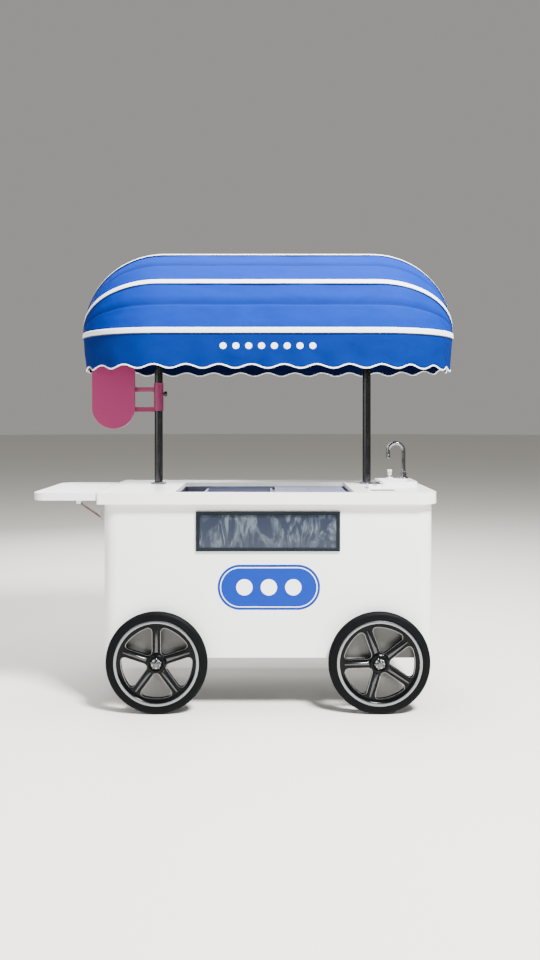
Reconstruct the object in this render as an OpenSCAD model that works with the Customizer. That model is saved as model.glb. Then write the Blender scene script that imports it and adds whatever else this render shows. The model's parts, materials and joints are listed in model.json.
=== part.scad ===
// Push vending cart for chilled desserts, with a canopy, a sink, a drop leaf and two big spoked wheels.
// Millimetres. +X runs along the cart, +Y points to the operator's side, +Z is up from the floor.

/* [Body] */
// Length of the body
body_l = 1520; // [1420:5:1900]
// Depth of the body
body_w = 730; // [700:5:900]
// Height of the body's lower edge above the floor
body_bottom = 244; // [240:1:300]
// Height of the body panels
body_h = 704; // [640:1:900]
// Outer radius of the body's upright corners
body_corner = 70; // [50:1:100]
// Thickness of the outer sheet
skin = 2; // [1.5:0.5:3]
// Thickness of the rear panel and its door
rear_t = 20; // [18:1:30]

/* [Worktop] */
// How far the worktop passes the body at each end
top_over_l = 20; // [10:1:60]
// How far the worktop passes the body at the front and rear
top_over_w = 30; // [20:1:60]
// Thickness of the worktop sheet
top_sheet = 20; // [12:1:30]
// Depth of the worktop's built-up edge
top_edge_h = 52; // [40:1:70]
// Width of the built-up edge
top_edge_w = 40; // [30:1:60]
// Radius of the worktop's two right-hand corners
top_corner = 90; // [60:1:120]
// Radius of the corners beside the drop leaf
leaf_side_corner = 8; // [4:1:12]

/* [Cold well] */
// Length of the well's opening
well_l = 830; // [780:5:900]
// Distance of the well's centre from the cart's centre
well_x = -15; // [-30:1:10]
// Depth of the opening from front to rear
well_w = 570; // [540:5:600]
// Distance from the worktop's front edge to the well
well_front = 50; // [48:1:80]
// Height of the well's space below the worktop sheet
well_d = 190; // [170:5:240]
// Corner radius of the well
well_corner = 20; // [10:1:30]
// Sheet thickness of the liner
liner_t = 2; // [1:0.5:3]
// Thickness of the foam round the well
foam_t = 30; // [20:1:50]
// Width of the dry compartment at the left
dry_l = 112; // [90:1:140]
// Thickness of the divider beside it
divider_t = 12; // [8:1:16]
// Thickness of a lid
lid_t = 4; // [3:0.5:5]
// Length of a lid
lid_l = 348; // [320:1:360]
// How far a lid slides
lid_travel = 290; // [250:1:295]
// Height of a pan
pan_h = 140; // [100:5:145]
// Sheet thickness of a pan
pan_t = 1.5; // [1:0.5:2]

/* [Wheels] */
// Diameter of the spoked wheels over their tyres
wheel_d = 464; // [440:2:480]
// Distance between the two spoked wheels' axles
wheel_base = 1010; // [900:5:1100]
// Width of a tyre
tyre_w = 45; // [35:1:60]
// Height of a tyre from its seat to its tread
tyre_h = 40; // [30:1:50]
// Gap from the body to a tyre
wheel_gap = 12.5; // [10:0.5:20]
// Diameter of a wheel's axle
axle_d = 20; // [16:1:24]
// Outer diameter of a wheel bearing
bearing_d = 42; // [40:1:52]
// Width of a wheel bearing
bearing_w = 12; // [10:1:15]
// Diameter of a wheel's hub
hub_d = 86; // [76:1:100]
// Diameter of a caster's wheel
caster_d = 200; // [180:2:204]
// Width of a caster's tread
caster_w = 40; // [30:1:50]
// Distance between the two casters
caster_base = 1186; // [1100:2:1240]
// Distance from the cart's centre line back to a caster's swivel
caster_y = 225; // [180:1:235]
// Trail of a caster's wheel behind its swivel
caster_trail = 45; // [35:1:55]

/* [Canopy] */
// Half the canopy's depth, and its height above the ring
canopy_r = 430; // [400:5:480]
// Length of the straight part between the round ends
canopy_straight = 1030; // [950:10:1200]
// Height of the canopy's ring above the floor
ring_z = 1754; // [1700:2:1900]
// Drop of the valance below the ring
valance_h = 178; // [120:2:200]
// Thickness of the canopy cloth
cloth_t = 4; // [3:0.5:6]
// Diameter of the bows and the ring
bow_d = 22; // [16:1:25]
// Diameter of the posts
post_d = 42.4; // [38:0.1:48.3]
// Wall of the posts
post_t = 1.5; // [1.2:0.1:3]
// Place of the left post
left_post_x = -565; // [-600:1:-540]
// Place of the right post
right_post_x = 510; // [490:1:515]
// Distance of the posts behind the cart's centre line
post_y = 145; // [130:1:160]

/* [Drop leaf] */
// Length of the leaf
leaf_l = 290; // [240:1:340]
// Depth of the leaf
leaf_w = 630; // [560:5:700]
// Thickness of the leaf
leaf_t = 34; // [25:1:40]
// Gap between the leaf and the worktop
leaf_gap = 5; // [4:0.5:8]
// Distance from the hinge pin to the stays' pins
stay_reach = 82.5; // [70:0.5:90]
// Length of a stay between its pin and its foot
stay_l = 119; // [110:1:125]
// Slope of a stay in use
stay_slope = 34.8; // [30:0.1:38]

/* [Sign] */
// Width of the sign
sign_w = 222; // [180:2:240]
// Height of the sign
sign_h = 440; // [360:5:445]
// Thickness of the sign
sign_t = 18; // [10:1:25]
// Height of the sign's lower end
sign_z = 1283; // [1260:1:1290]
// Gap from the post's centre to the sign
sign_gap = 122; // [110:1:130]

/* [Sink] */
// Length of the basin
basin_l = 185; // [170:1:190]
// Depth of the basin
basin_w = 260; // [240:1:280]
// Height of the basin above the worktop
basin_rise = 28; // [20:1:40]
// Depth of the bowl below the worktop
bowl_d = 75; // [60:1:90]
// Radius of the drain hole
drain_r = 20; // [15:0.5:25]
// Radius of the tap's arch
arch_r = 40; // [35:1:50]
// Diameter of the tap's pipe
pipe_d = 22; // [16:1:25]
// Height of the arch's centre above the floor
arch_z = 1170; // [1140:1:1250]

/* [Hidden] */
$fn = 64;

// Running clearance of a shaft in its hole, and the gap that parted faces keep
fit = 0.05;
gap = 0.3;
// Overshoot of a cutter past the face that it cuts
cut = 1;

// Body and worktop
body_top = body_bottom + body_h;
top_z = body_top + top_edge_h;
sheet_z = top_z - top_sheet;
top_l = body_l + 2 * top_over_l;
top_w = body_w + 2 * top_over_w;
front_y = -body_w / 2;
rail_h = 40;
rail_w = 40;
rail_t = 3;
floor_t = 3;
floor_z = body_bottom + rail_h;
inner_z = floor_z + floor_t;
inner_l = body_l - 2 * skin;
inner_w = body_w - 2 * skin;
inner_corner = body_corner - skin;

// Cold well
well_x0 = well_x - well_l / 2;
well_x1 = well_x + well_l / 2;
well_y0 = -top_w / 2 + well_front;
well_y1 = well_y0 + well_w;
well_floor = sheet_z - well_d;
track_step = 13.5;
track_top = sheet_z - lid_t - 2 * gap;
track_low = track_top - 14;
track_h = 36;
bay_x = well_x0 + dry_l + divider_t;
lid_stop = (well_x1 - bay_x) / 2 + bay_x;
lid_stagger = 24;
lip_w = 10;
lip_h = 8;
pan_gap = 2.5;
pan_rows = [360, 150];
pan_count = [4, 2];
pan_bay = well_x1 - 45 - bay_x;
pan_y0 = well_y0 + 2 * track_step + 1;
pan_corner = 15;

// Running gear
wheel_r = wheel_d / 2;
wheel_z = wheel_r;
wheel_y = front_y - wheel_gap - tyre_w / 2;
seat_r = wheel_r - tyre_h;
hub_w = tyre_w + 11;
cap_h = 8;
cap_r = 30;
head_r = axle_d / 2 + 1.5;
head_h = 3.5;
splash_t = 3;
splash_r = 200;
block_w = 80;
block_d = 70;
caster_r = caster_d / 2;
plate_t = 6;
race_h = 8;
pin_r = 8;
crown_t = 10;
leg_t = 5;
leg_gap = 3;
pedal_y = 30;
pedal_z = caster_d + 12;
pedal_pin_r = 4;
caster_pin_r = 6;

// Canopy
canopy_half = canopy_straight / 2;
bow_r = bow_d / 2;
bow_line = canopy_r - cloth_t - 0.5 - bow_r;
spine_r = 14;
hub_plate_r = 60;
hub_plate_in = 18;
hub_plate_out = 6;
bow_start = asin(45 / bow_line);
// The bent ends of a bow are this much thinner in radius, to plug into its straight part
swage = 1;
bow_angles = [-57, -22, 22, 57];
post_r = post_d / 2;
post_top = ring_z - spine_r - 5;
socket_l = 55;
socket_t = 3;
valance_t = 3;
flange_r = 39.5;
flange_t = 8;
screw_ring = 31;
screw_r = 3;

// Drop leaf
knuckle_r = 5;
hinge_pin_r = 3;
leaf_x1 = -top_l / 2 - leaf_gap;
leaf_y0 = -top_w / 2;
leaf_corner = 60;
hinge_x = -top_l / 2 - knuckle_r - 0.5;
hinge_z = top_z - leaf_t - knuckle_r - 0.5;
hinge_y = [leaf_y0 + 120, leaf_y0 + leaf_w - 120];
stay_y = [leaf_y0 + 45, leaf_y0 + leaf_w - 45];
stay_w = 16;
stay_t = 8;
stay_x = hinge_x - stay_reach;
stay_z = hinge_z - 4.5;
knuckle_l = 20;

// Sign
sleeve_r = 25;
sleeve_z0 = 1376;
sleeve_h = 145;
arm_z = [1384, 1487];
arm_h = 24;
arm_t = 6;
knob_z = 1464;
knob_r = 14;
knob_w = 18;
knob_pin_r = 4;
sign_x1 = left_post_x - sign_gap;

// Sink corner
basin_x0 = 550;
basin_y0 = -95;
basin_corner = 35;
bowl_wall = 12;
bowl_t = 3;
deck_w = 55;
tap_x = basin_x0 + basin_l - 35;
tap_y = basin_y0 + basin_w - deck_w / 2;
soap_x = basin_x0 + 77;
deck_z = top_z + basin_rise;
collar_z = deck_z + 32;
outlet_z = 1132;
neck_r = 12;
stem_r = 5;
pump_travel = 12;
box_x0 = 483;
box_l = 65;
box_y0 = -175;
box_w = 80;
box_h = 22;
box_t = 2;
slot_x0 = 483;
slot_y0 = -270;
slot_l = 117;
slot_w = 55;
slot_d = 12;

// Rear side
door_x0 = 60;
door_x1 = 640;
door_z0 = 330;
door_h = 540;
door_gap = 5;
door_pin_r = 4;
door_pin_l = 9;
door_axis_x = door_x1 - door_gap - 9;
rear_y = body_w / 2;
door_axis_y = rear_y - rear_t / 2;
panel_l = body_l - 2 * body_corner;
vent_x0 = -520;
vent_l = 320;
vent_z0 = 330;
vent_h = 300;
vent_lip = 10;
vent_slots = 9;
control_x0 = -170;
control_l = 180;
control_z0 = 700;
control_h = 100;
control_t = 20;
dial_r = 18;
dial_pin_r = 4;
dial_x = control_x0 + control_l - 45;
dial_z = control_z0 + control_h / 2;

// Window on the front
window_w = 660;
window_h = 183;
window_z = body_top - 34 - window_h;
frame_w = 16;
frame_t = 9;
glass_t = 4;

// The origin lies on the floor under the middle of the whole cart
x_low = leaf_x1 - leaf_l;
x_high = canopy_half + canopy_r;
y_low = wheel_y - hub_w / 2 - cap_h;
y_high = post_y + canopy_r;

module in_frame() {
  translate([-(x_low + x_high) / 2, -(y_low + y_high) / 2, 0]) children();
}

// A rectangle from a corner, with a radius for its left and its right corners
module plan(x0, y0, l, w, left_r, right_r) {
  r = max(left_r, right_r);
  translate([x0 + r, y0]) square([l - 2 * r, w]);
  for (end = [[x0, left_r, 0], [x0 + l - r, right_r, 1]]) {
    e = end[1];
    translate([end[0], y0 + e]) square([r, w - 2 * e]);
    if (r > e) {
      translate([end[2] == 0 ? end[0] + e : end[0], y0]) square([r - e, w]);
    }
    cx = end[2] == 0 ? end[0] + e : end[0] + r - e;
    for (cy = [y0 + e, y0 + w - e]) translate([cx, cy]) circle(e);
  }
}

module slab(x0, y0, z0, l, w, h, r) {
  translate([0, 0, z0]) linear_extrude(h) plan(x0, y0, l, w, r, r);
}

module tube(r, bore, h) {
  difference() {
    cylinder(r = r, h = h);
    translate([0, 0, -cut]) cylinder(r = bore, h = h + 2 * cut);
  }
}

module along_x(at, r, l) {
  translate(at) rotate([0, 90, 0]) cylinder(r = r, h = l);
}

module along_y(at, r, l) {
  translate(at) rotate([-90, 0, 0]) cylinder(r = r, h = l);
}

// Everything that stands at both spoked wheels, at both casters or at both posts
module at_wheel(side) {
  translate([side * wheel_base / 2, wheel_y, wheel_z]) children();
}

module at_caster(side) {
  translate([side * caster_base / 2, caster_y, 0]) children();
}

module at_posts() {
  for (x = [left_post_x, right_post_x]) translate([x, post_y, 0]) children();
}

/* chassis */

module channel(x0, y0, l, w) {
  difference() {
    translate([x0, y0, body_bottom]) cube([l, w, rail_h]);
    translate([x0 + rail_t, y0 - cut, body_bottom + rail_t])
      cube([l - 2 * rail_t, w + 2 * cut, rail_h]);
  }
}

module rail_ring() {
  difference() {
    slab(-inner_l / 2, -inner_w / 2, body_bottom, inner_l, inner_w, rail_h, inner_corner);
    translate([-inner_l / 2 + rail_w, -inner_w / 2 + rail_w, body_bottom - cut])
      cube([inner_l - 2 * rail_w, inner_w - 2 * rail_w, rail_h + 2 * cut]);
    difference() {
      slab(-inner_l / 2 + rail_t, -inner_w / 2 + rail_t, body_bottom + rail_t,
        inner_l - 2 * rail_t, inner_w - 2 * rail_t, rail_h, inner_corner - rail_t);
      translate([-inner_l / 2 + rail_w - rail_t, -inner_w / 2 + rail_w - rail_t, body_bottom])
        cube([inner_l - 2 * (rail_w - rail_t), inner_w - 2 * (rail_w - rail_t), rail_h * 2]);
    }
  }
}

module chassis_frame() {
  cross_w = inner_w - 2 * rail_w;
  outer_w = 190;
  in_frame() color("dimgray") difference() {
    union() {
      rail_ring();
      channel(-30, -cross_w / 2, 60, cross_w);
      for (side = [-1, 1]) {
        channel(side * (wheel_base / 2 + 45) - outer_w / 2, -cross_w / 2, outer_w, cross_w);
        translate([side * wheel_base / 2 - block_w / 2, -inner_w / 2, wheel_z - 36])
          cube([block_w, block_d, body_bottom + rail_t - wheel_z + 36]);
      }
    }
    for (side = [-1, 1]) {
      along_y([side * wheel_base / 2, -inner_w / 2 - cut, wheel_z], axle_d / 2 + fit,
        block_d + 2 * cut);
      caster_bolts(side) translate([0, 0, body_bottom - cut]) cylinder(r = screw_r, h = 10);
    }
  }
}

module floor_panel() {
  in_frame() color("silver")
    slab(-inner_l / 2, -inner_w / 2, floor_z, inner_l, inner_w, floor_t, inner_corner);
}

/* body */

module body_shell() {
  in_frame() color("gainsboro") difference() {
    slab(-body_l / 2, front_y, body_bottom, body_l, body_w, body_h, body_corner);
    slab(-inner_l / 2, -inner_w / 2, body_bottom - cut, inner_l, inner_w, body_h + 2 * cut,
      inner_corner);
    translate([-panel_l / 2, 0, body_bottom - cut]) cube([panel_l, body_w, body_h + 2 * cut]);
  }
}

module rear_panel() {
  in_frame() color("gainsboro") difference() {
    translate([-panel_l / 2, rear_y - rear_t, inner_z])
      cube([panel_l, rear_t, body_top - inner_z]);
    translate([door_x0, rear_y - rear_t - cut, door_z0])
      cube([door_x1 - door_x0, rear_t + 2 * cut, door_h]);
    translate([vent_x0, rear_y - rear_t - cut, vent_z0])
      cube([vent_l, rear_t + 2 * cut, vent_h]);
    for (z = [door_z0 - door_pin_l, door_z0 + door_h - cut])
      translate([door_axis_x, door_axis_y, z])
        cylinder(r = door_pin_r + fit, h = door_pin_l + cut);
    along_y([dial_x, rear_y - rear_t - cut, dial_z], 6, rear_t + 2 * cut);
  }
}

module rear_door() {
  l = door_axis_x + 9 - door_x0 - door_gap;
  in_frame() color("whitesmoke") {
    translate([door_x0 + door_gap, rear_y - rear_t, door_z0 + gap])
      cube([l, rear_t, door_h - 2 * gap]);
    translate([door_axis_x, door_axis_y, door_z0 - door_pin_l + 2])
      cylinder(r = door_pin_r, h = door_h + 2 * door_pin_l - 4);
  }
}

module door_handle() {
  x = door_x0 + 40;
  z = door_z0 + door_h / 2;
  in_frame() color("silver") {
    translate([x, rear_y + 30, z - 75]) cylinder(r = 6, h = 150);
    for (s = [-1, 1]) along_y([x, rear_y, z + s * 60], 5, 30);
  }
}

module vent_grille() {
  pitch = vent_h / vent_slots;
  in_frame() color("silver") difference() {
    union() {
      translate([vent_x0, rear_y - 6, vent_z0]) cube([vent_l, 6, vent_h]);
      translate([vent_x0 - vent_lip, rear_y, vent_z0 - vent_lip])
        cube([vent_l + 2 * vent_lip, 2, vent_h + 2 * vent_lip]);
    }
    for (i = [0:vent_slots - 1])
      translate([vent_x0 + 15, rear_y - 6 - cut, vent_z0 + pitch * (i + 0.5) - 6])
        cube([vent_l - 30, 8 + 2 * cut, 12]);
  }
}

module control_panel() {
  in_frame() color("dimgray") difference() {
    union() {
      translate([control_x0, rear_y, control_z0]) cube([control_l, control_t, control_h]);
      translate([control_x0 + 15, rear_y + control_t, control_z0 + 50]) cube([75, 1.5, 32]);
      translate([control_x0 + 15, rear_y + control_t, control_z0 + 15]) cube([30, 3, 20]);
    }
    along_y([dial_x, rear_y - cut, dial_z], dial_pin_r + fit, control_t + 2 * cut);
  }
}

module thermostat_knob() {
  in_frame() color("black") {
    along_y([dial_x, rear_y + control_t + gap, dial_z], dial_r, 16);
    along_y([dial_x, rear_y - 5, dial_z], dial_pin_r, control_t + 6);
    translate([dial_x - 1.5, rear_y + control_t + 10, dial_z]) cube([3, 8, dial_r]);
  }
}

/* worktop and well */

module worktop() {
  in_frame() color("gainsboro") difference() {
    translate([0, 0, body_top]) linear_extrude(top_edge_h)
      plan(-top_l / 2, -top_w / 2, top_l, top_w, leaf_side_corner, top_corner);
    translate([0, 0, body_top - cut]) linear_extrude(sheet_z - body_top + cut)
      plan(-top_l / 2 + top_edge_w, -top_w / 2 + top_edge_w, top_l - 2 * top_edge_w,
        top_w - 2 * top_edge_w, leaf_side_corner, top_corner - top_edge_w);
    slab(well_x0, well_y0, body_top, well_l, well_w, top_edge_h + cut, well_corner);
    slab(basin_x0 + bowl_wall - 1, basin_y0 + bowl_wall - 1, body_top, basin_l - 2 * bowl_wall
      + 2, basin_w - bowl_wall - deck_w + 2, top_edge_h + cut, basin_corner - bowl_wall + 1);
    translate([slot_x0, slot_y0, top_z - slot_d]) cube([slot_l, slot_w, slot_d + cut]);
    translate([0, 0, body_top]) {
      at_posts() cylinder(r = post_r + gap, h = top_edge_h + cut);
      translate([tap_x, tap_y, 0]) cylinder(r = pipe_d / 2, h = top_edge_h + cut);
      translate([soap_x, tap_y, 0]) cylinder(r = neck_r + gap, h = top_edge_h + cut);
    }
    at_posts() flange_holes() translate([0, 0, sheet_z - cut])
      cylinder(r = screw_r, h = top_sheet + 2 * cut);
  }
}

module well_liner() {
  lip = well_front - top_edge_w - 1;
  in_frame() color("silver") difference() {
    union() {
      slab(well_x0 - liner_t, well_y0 - liner_t, well_floor - liner_t, well_l + 2 * liner_t,
        well_w + 2 * liner_t, well_d + liner_t, well_corner + liner_t);
      slab(well_x0 - lip, well_y0 - lip, sheet_z - liner_t, well_l + 2 * lip,
        well_w + 2 * lip, liner_t, well_corner + lip);
    }
    slab(well_x0, well_y0, well_floor, well_l, well_w, well_d + cut, well_corner);
  }
}

module insulation() {
  o = liner_t + foam_t;
  y0 = -inner_w / 2;
  in_frame() color("khaki") difference() {
    translate([well_x0 - o, y0, well_floor - o])
      cube([well_l + 2 * o, well_y1 + o - y0, well_d + o - liner_t]);
    slab(well_x0 - liner_t, well_y0 - liner_t, well_floor - liner_t, well_l + 2 * liner_t,
      well_w + 2 * liner_t, well_d + liner_t + cut, well_corner + liner_t);
    translate([-top_l / 2, y0 - cut, body_top - cut])
      cube([top_l, -top_w / 2 + top_edge_w - y0 + 2 * cut, body_h]);
  }
}

module pan(x, y, l, w) {
  difference() {
    slab(x, y, well_floor, l, w, pan_h, pan_corner);
    slab(x + pan_t, y + pan_t, well_floor + pan_t, l - 2 * pan_t, w - 2 * pan_t, pan_h,
      pan_corner - pan_t);
  }
}

module gelato_pans() {
  in_frame() color("lightsteelblue") for (row = [0, 1]) {
    pitch = pan_bay / pan_count[row];
    for (i = [0:pan_count[row] - 1])
      pan(bay_x + pitch * i + pan_gap / 2, pan_y0 + row * (pan_rows[0] + pan_gap),
        pitch - pan_gap, pan_rows[row]);
  }
}

module track(side) {
  x0 = bay_x;
  l = well_x1 - well_corner - x0;
  translate([x0, side > 0 ? well_y0 : well_y1, 0]) rotate([90, 0, 90]) linear_extrude(l)
    polygon([for (p = [[0, track_top - track_h], [2 * track_step, track_top - track_h],
      [2 * track_step, track_low], [track_step, track_low], [track_step, track_top],
      [0, track_top]]) [side * p[0], p[1]]]);
}

module lid_track() {
  in_frame() color("whitesmoke") {
    track(1);
    track(-1);
    translate([bay_x - divider_t, well_y0, well_floor])
      cube([divider_t, well_w, track_top - 4 - well_floor]);
  }
}

module lid(x0, y0, w, z) {
  translate([x0, y0, z]) cube([lid_l, w, lid_t]);
  translate([x0, y0 + 20, z + lid_t]) cube([lip_w, w - 40, lip_h]);
}

module lid_left() {
  y0 = well_y0 + track_step + 0.5;
  in_frame() color("lightsteelblue")
    lid(lid_stop - lid_stagger - 12, y0, well_w - 2 * track_step - 1, track_low + gap);
}

module lid_right() {
  in_frame() color("lightsteelblue")
    lid(lid_stop - 12, well_y0 + 0.5, well_w - 1, track_top + gap);
}

/* window */

module window_frame() {
  in_frame() color("darkslategray") difference() {
    translate([-window_w / 2, front_y - frame_t, window_z]) cube([window_w, frame_t, window_h]);
    translate([-window_w / 2 + frame_w, front_y - frame_t - cut, window_z + frame_w])
      cube([window_w - 2 * frame_w, frame_t + 2 * cut, window_h - 2 * frame_w]);
  }
}

module window_glass() {
  in_frame() color("slategray")
    translate([-window_w / 2 + frame_w, front_y - glass_t, window_z + frame_w])
      cube([window_w - 2 * frame_w, glass_t, window_h - 2 * frame_w]);
}

/* spoked wheels */

module splash_plates() {
  in_frame() color("gray") for (side = [-1, 1]) intersection() {
    along_y([side * wheel_base / 2, front_y - splash_t, wheel_z], splash_r, splash_t);
    translate([-body_l / 2, front_y - splash_t - cut, body_bottom])
      cube([body_l, splash_t + 2 * cut, splash_r]);
  }
}

module wheel_axles() {
  inner = -inner_w / 2 - wheel_y;
  in_frame() color("silver") for (side = [-1, 1]) at_wheel(side) {
    along_y([0, -hub_w / 2, 0], axle_d / 2, hub_w / 2 + inner + block_d);
    along_y([0, hub_w / 2, 0], head_r, inner - hub_w / 2);
    along_y([0, -hub_w / 2 - head_h, 0], head_r, head_h);
    along_y([0, inner + block_d, 0], head_r + 1.5, 8, $fn = 6);
  }
}

module wheel_bearings() {
  in_frame() color("silver") for (side = [-1, 1]) at_wheel(side)
    for (y = [-hub_w / 2, hub_w / 2 - bearing_w]) translate([0, y, 0]) rotate([-90, 0, 0])
      tube(bearing_d / 2, axle_d / 2, bearing_w);
}

module rim(turn) {
  ring_in = seat_r - 24;
  difference() {
    union() {
      rotate([90, 0, 0]) translate([0, 0, -hub_w / 2]) cylinder(d = hub_d, h = hub_w);
      rotate([90, 0, 0]) translate([0, 0, -tyre_w / 2 + 2])
        tube(seat_r, ring_in, tyre_w - 4);
      for (i = [0:4]) rotate([0, turn + 72 * i, 0]) translate([hub_d / 2 - 8, -13, -17])
        cube([ring_in - hub_d / 2 + 14, 26, 34]);
    }
    along_y([0, -hub_w, 0], axle_d / 2 + 6, 2 * hub_w);
    for (y = [-hub_w / 2 - cut, hub_w / 2 - bearing_w - gap])
      along_y([0, y, 0], bearing_d / 2 + fit, bearing_w + gap + cut);
  }
}

module tyre() {
  rotate([90, 0, 0]) rotate_extrude() intersection() {
    translate([seat_r, 0]) circle(tyre_h);
    translate([seat_r, -tyre_w / 2]) square([tyre_h + cut, tyre_w]);
  }
}

module hub_cap() {
  difference() {
    along_y([0, -hub_w / 2 - cap_h, 0], cap_r, cap_h);
    along_y([0, -hub_w / 2 - head_h - 2, 0], bearing_d / 2 + 1, head_h + 2 + cut);
  }
}

module left_rim() { in_frame() color("black") at_wheel(-1) rim(-90); }
module right_rim() { in_frame() color("black") at_wheel(1) rim(-110); }
module left_tyre() { in_frame() color("darkslategray") at_wheel(-1) tyre(); }
module right_tyre() { in_frame() color("darkslategray") at_wheel(1) tyre(); }
module left_hub_cap() { in_frame() color("silver") at_wheel(-1) hub_cap(); }
module right_hub_cap() { in_frame() color("silver") at_wheel(1) hub_cap(); }

/* casters */

module caster_bolts(side) {
  at_caster(side) for (x = [-40, 40], y = [-30, 30]) translate([x, y, 0]) children();
}

module caster_plates() {
  z = body_bottom - plate_t;
  in_frame() color("silver") for (side = [-1, 1]) difference() {
    at_caster(side) {
      translate([-52, -42, z]) cube([104, 84, plate_t]);
      translate([0, 0, z - race_h]) cylinder(r = 36, h = race_h);
      translate([0, 0, z - race_h - crown_t - gap]) cylinder(r = pin_r, h = race_h + crown_t);
      translate([0, 0, z - race_h - crown_t - 2 * gap - 5]) cylinder(r = 14, h = 5 + gap);
    }
    caster_bolts(side) translate([0, 0, z - cut]) cylinder(r = screw_r, h = plate_t + 2 * cut);
  }
}

module caster_fork() {
  top = body_bottom - plate_t - race_h - gap;
  half = caster_w / 2 + leg_gap;
  at_leg = [half, -half - leg_t];
  difference() {
    union() {
      translate([0, 0, top - crown_t + gap / 2]) cylinder(r = 36, h = crown_t - gap / 2);
      for (x = at_leg) translate([x, 0, 0]) rotate([90, 0, 90]) linear_extrude(leg_t) {
        polygon([[-28, top], [28, top], [pedal_y + 14, pedal_z + 8], [pedal_y + 14, pedal_z - 8],
          [caster_trail + 18, caster_r], [caster_trail - 18, caster_r]]);
        translate([caster_trail, caster_r]) circle(18);
      }
    }
    translate([0, 0, top - crown_t - cut]) cylinder(r = pin_r + fit, h = crown_t + 2 * cut);
    along_x([-60, caster_trail, caster_r], caster_pin_r, 120);
    along_x([-60, pedal_y, pedal_z], pedal_pin_r + fit, 120);
  }
}

module caster_axle() {
  half = caster_w / 2 + leg_gap + leg_t;
  translate([0, caster_trail, caster_r]) {
    along_x([-half, 0, 0], caster_pin_r, 2 * half);
    along_x([half, 0, 0], 10, 6, $fn = 6);
    along_x([-half - 6, 0, 0], 10, 6, $fn = 6);
  }
}

module caster_wheel() {
  half = caster_w / 2;
  translate([0, caster_trail, caster_r]) rotate([0, 90, 0]) difference() {
    union() {
      translate([0, 0, -half + 2]) cylinder(r = caster_r - 25, h = caster_w - 4);
      translate([0, 0, -half - 2]) cylinder(r = 20, h = caster_w + 4);
    }
    translate([0, 0, -half - 2 - cut])
      cylinder(r = caster_pin_r + fit, h = caster_w + 4 + 2 * cut);
    for (z = [-half, half - 10]) translate([0, 0, z]) tube(caster_r - 34, 30, 10);
  }
}

module caster_tread() {
  translate([0, caster_trail, caster_r]) rotate([0, 90, 0]) rotate_extrude() intersection() {
    translate([caster_r - 25, 0]) circle(25);
    translate([caster_r - 25, -caster_w / 2]) square([26, caster_w]);
  }
}

module brake_pedal() {
  half = caster_w / 2;
  along_x([-half - leg_gap - leg_t, pedal_y, pedal_z], pedal_pin_r,
    2 * (half + leg_gap + leg_t));
  along_x([-half, pedal_y, pedal_z], 7, caster_w);
  translate([-half, pedal_y, pedal_z - 1]) cube([caster_w, 85, 5]);
  translate([-half, pedal_y + 70, pedal_z - 1]) cube([caster_w, 15, 9]);
}

module left_caster_fork() { in_frame() color("silver") at_caster(-1) caster_fork(); }
module right_caster_fork() { in_frame() color("silver") at_caster(1) caster_fork(); }
module left_caster_axle() { in_frame() color("silver") at_caster(-1) caster_axle(); }
module right_caster_axle() { in_frame() color("silver") at_caster(1) caster_axle(); }
module left_caster_wheel() { in_frame() color("gray") at_caster(-1) caster_wheel(); }
module right_caster_wheel() { in_frame() color("gray") at_caster(1) caster_wheel(); }
module left_caster_tread() { in_frame() color("black") at_caster(-1) caster_tread(); }
module right_caster_tread() { in_frame() color("black") at_caster(1) caster_tread(); }
module left_brake_pedal() { in_frame() color("firebrick") at_caster(-1) brake_pedal(); }
module right_brake_pedal() { in_frame() color("firebrick") at_caster(1) brake_pedal(); }

/* posts and canopy */

module flange_holes() {
  for (a = [45:90:315]) rotate(a) translate([screw_ring, 0, 0]) children();
}

module canopy_posts() {
  in_frame() color("dimgray") at_posts() translate([0, 0, inner_z])
    tube(post_r, post_r - post_t, post_top - inner_z);
}

module post_flanges() {
  in_frame() color("silver") at_posts() translate([0, 0, top_z]) difference() {
    tube(flange_r, post_r, flange_t);
    flange_holes() translate([0, 0, -cut]) cylinder(r = screw_r, h = flange_t + 2 * cut);
  }
}

module bow(angle) {
  rotate([angle, 0, 0]) {
    along_x([-canopy_half, 0, bow_line], bow_r, canopy_straight);
    for (end = [0, 1]) mirror([end, 0, 0]) translate([canopy_half, 0, 0]) rotate([90, 0, 0])
      rotate([0, 0, bow_start]) rotate_extrude(angle = 90 - bow_start)
        translate([bow_line, 0]) circle(bow_r - swage);
  }
}

module canopy_frame() {
  in_frame() color("silver") difference() {
    union() {
      translate([0, post_y, ring_z]) {
        for (a = bow_angles) bow(a);
        bow(90);
        bow(-90);
        along_x([-canopy_half - bow_line, 0, 0], spine_r, canopy_straight + 2 * bow_line);
        for (end = [0, 1]) mirror([end, 0, 0])
          along_x([canopy_half + bow_line - hub_plate_in, 0, 0], hub_plate_r,
            hub_plate_in + hub_plate_out);
        for (x = [left_post_x, right_post_x])
          along_y([x, -bow_line, 0], bow_r, 2 * bow_line);
      }
      at_posts() translate([0, 0, post_top - socket_l])
        cylinder(r = post_r + socket_t, h = socket_l + 10);
    }
    at_posts() translate([0, 0, post_top - socket_l - cut])
      cylinder(r = post_r + fit, h = socket_l + cut);
  }
}

module dome_ring(r0, r1) {
  difference() {
    circle(r1);
    circle(r0);
    translate([-2 * r1, -4 * r1]) square(4 * r1);
  }
}

module canopy_cover() {
  r0 = canopy_r - cloth_t;
  in_frame() color("dodgerblue") translate([0, post_y, ring_z]) {
    translate([-canopy_half, 0, 0]) rotate([90, 0, 90]) linear_extrude(canopy_straight)
      dome_ring(r0, canopy_r);
    for (end = [0, 1]) mirror([end, 0, 0]) translate([canopy_half, 0, 0]) rotate(-90)
      rotate_extrude(angle = 180) difference() {
        intersection() {
          circle(canopy_r);
          square(canopy_r);
        }
        circle(r0);
      }
  }
}

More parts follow.
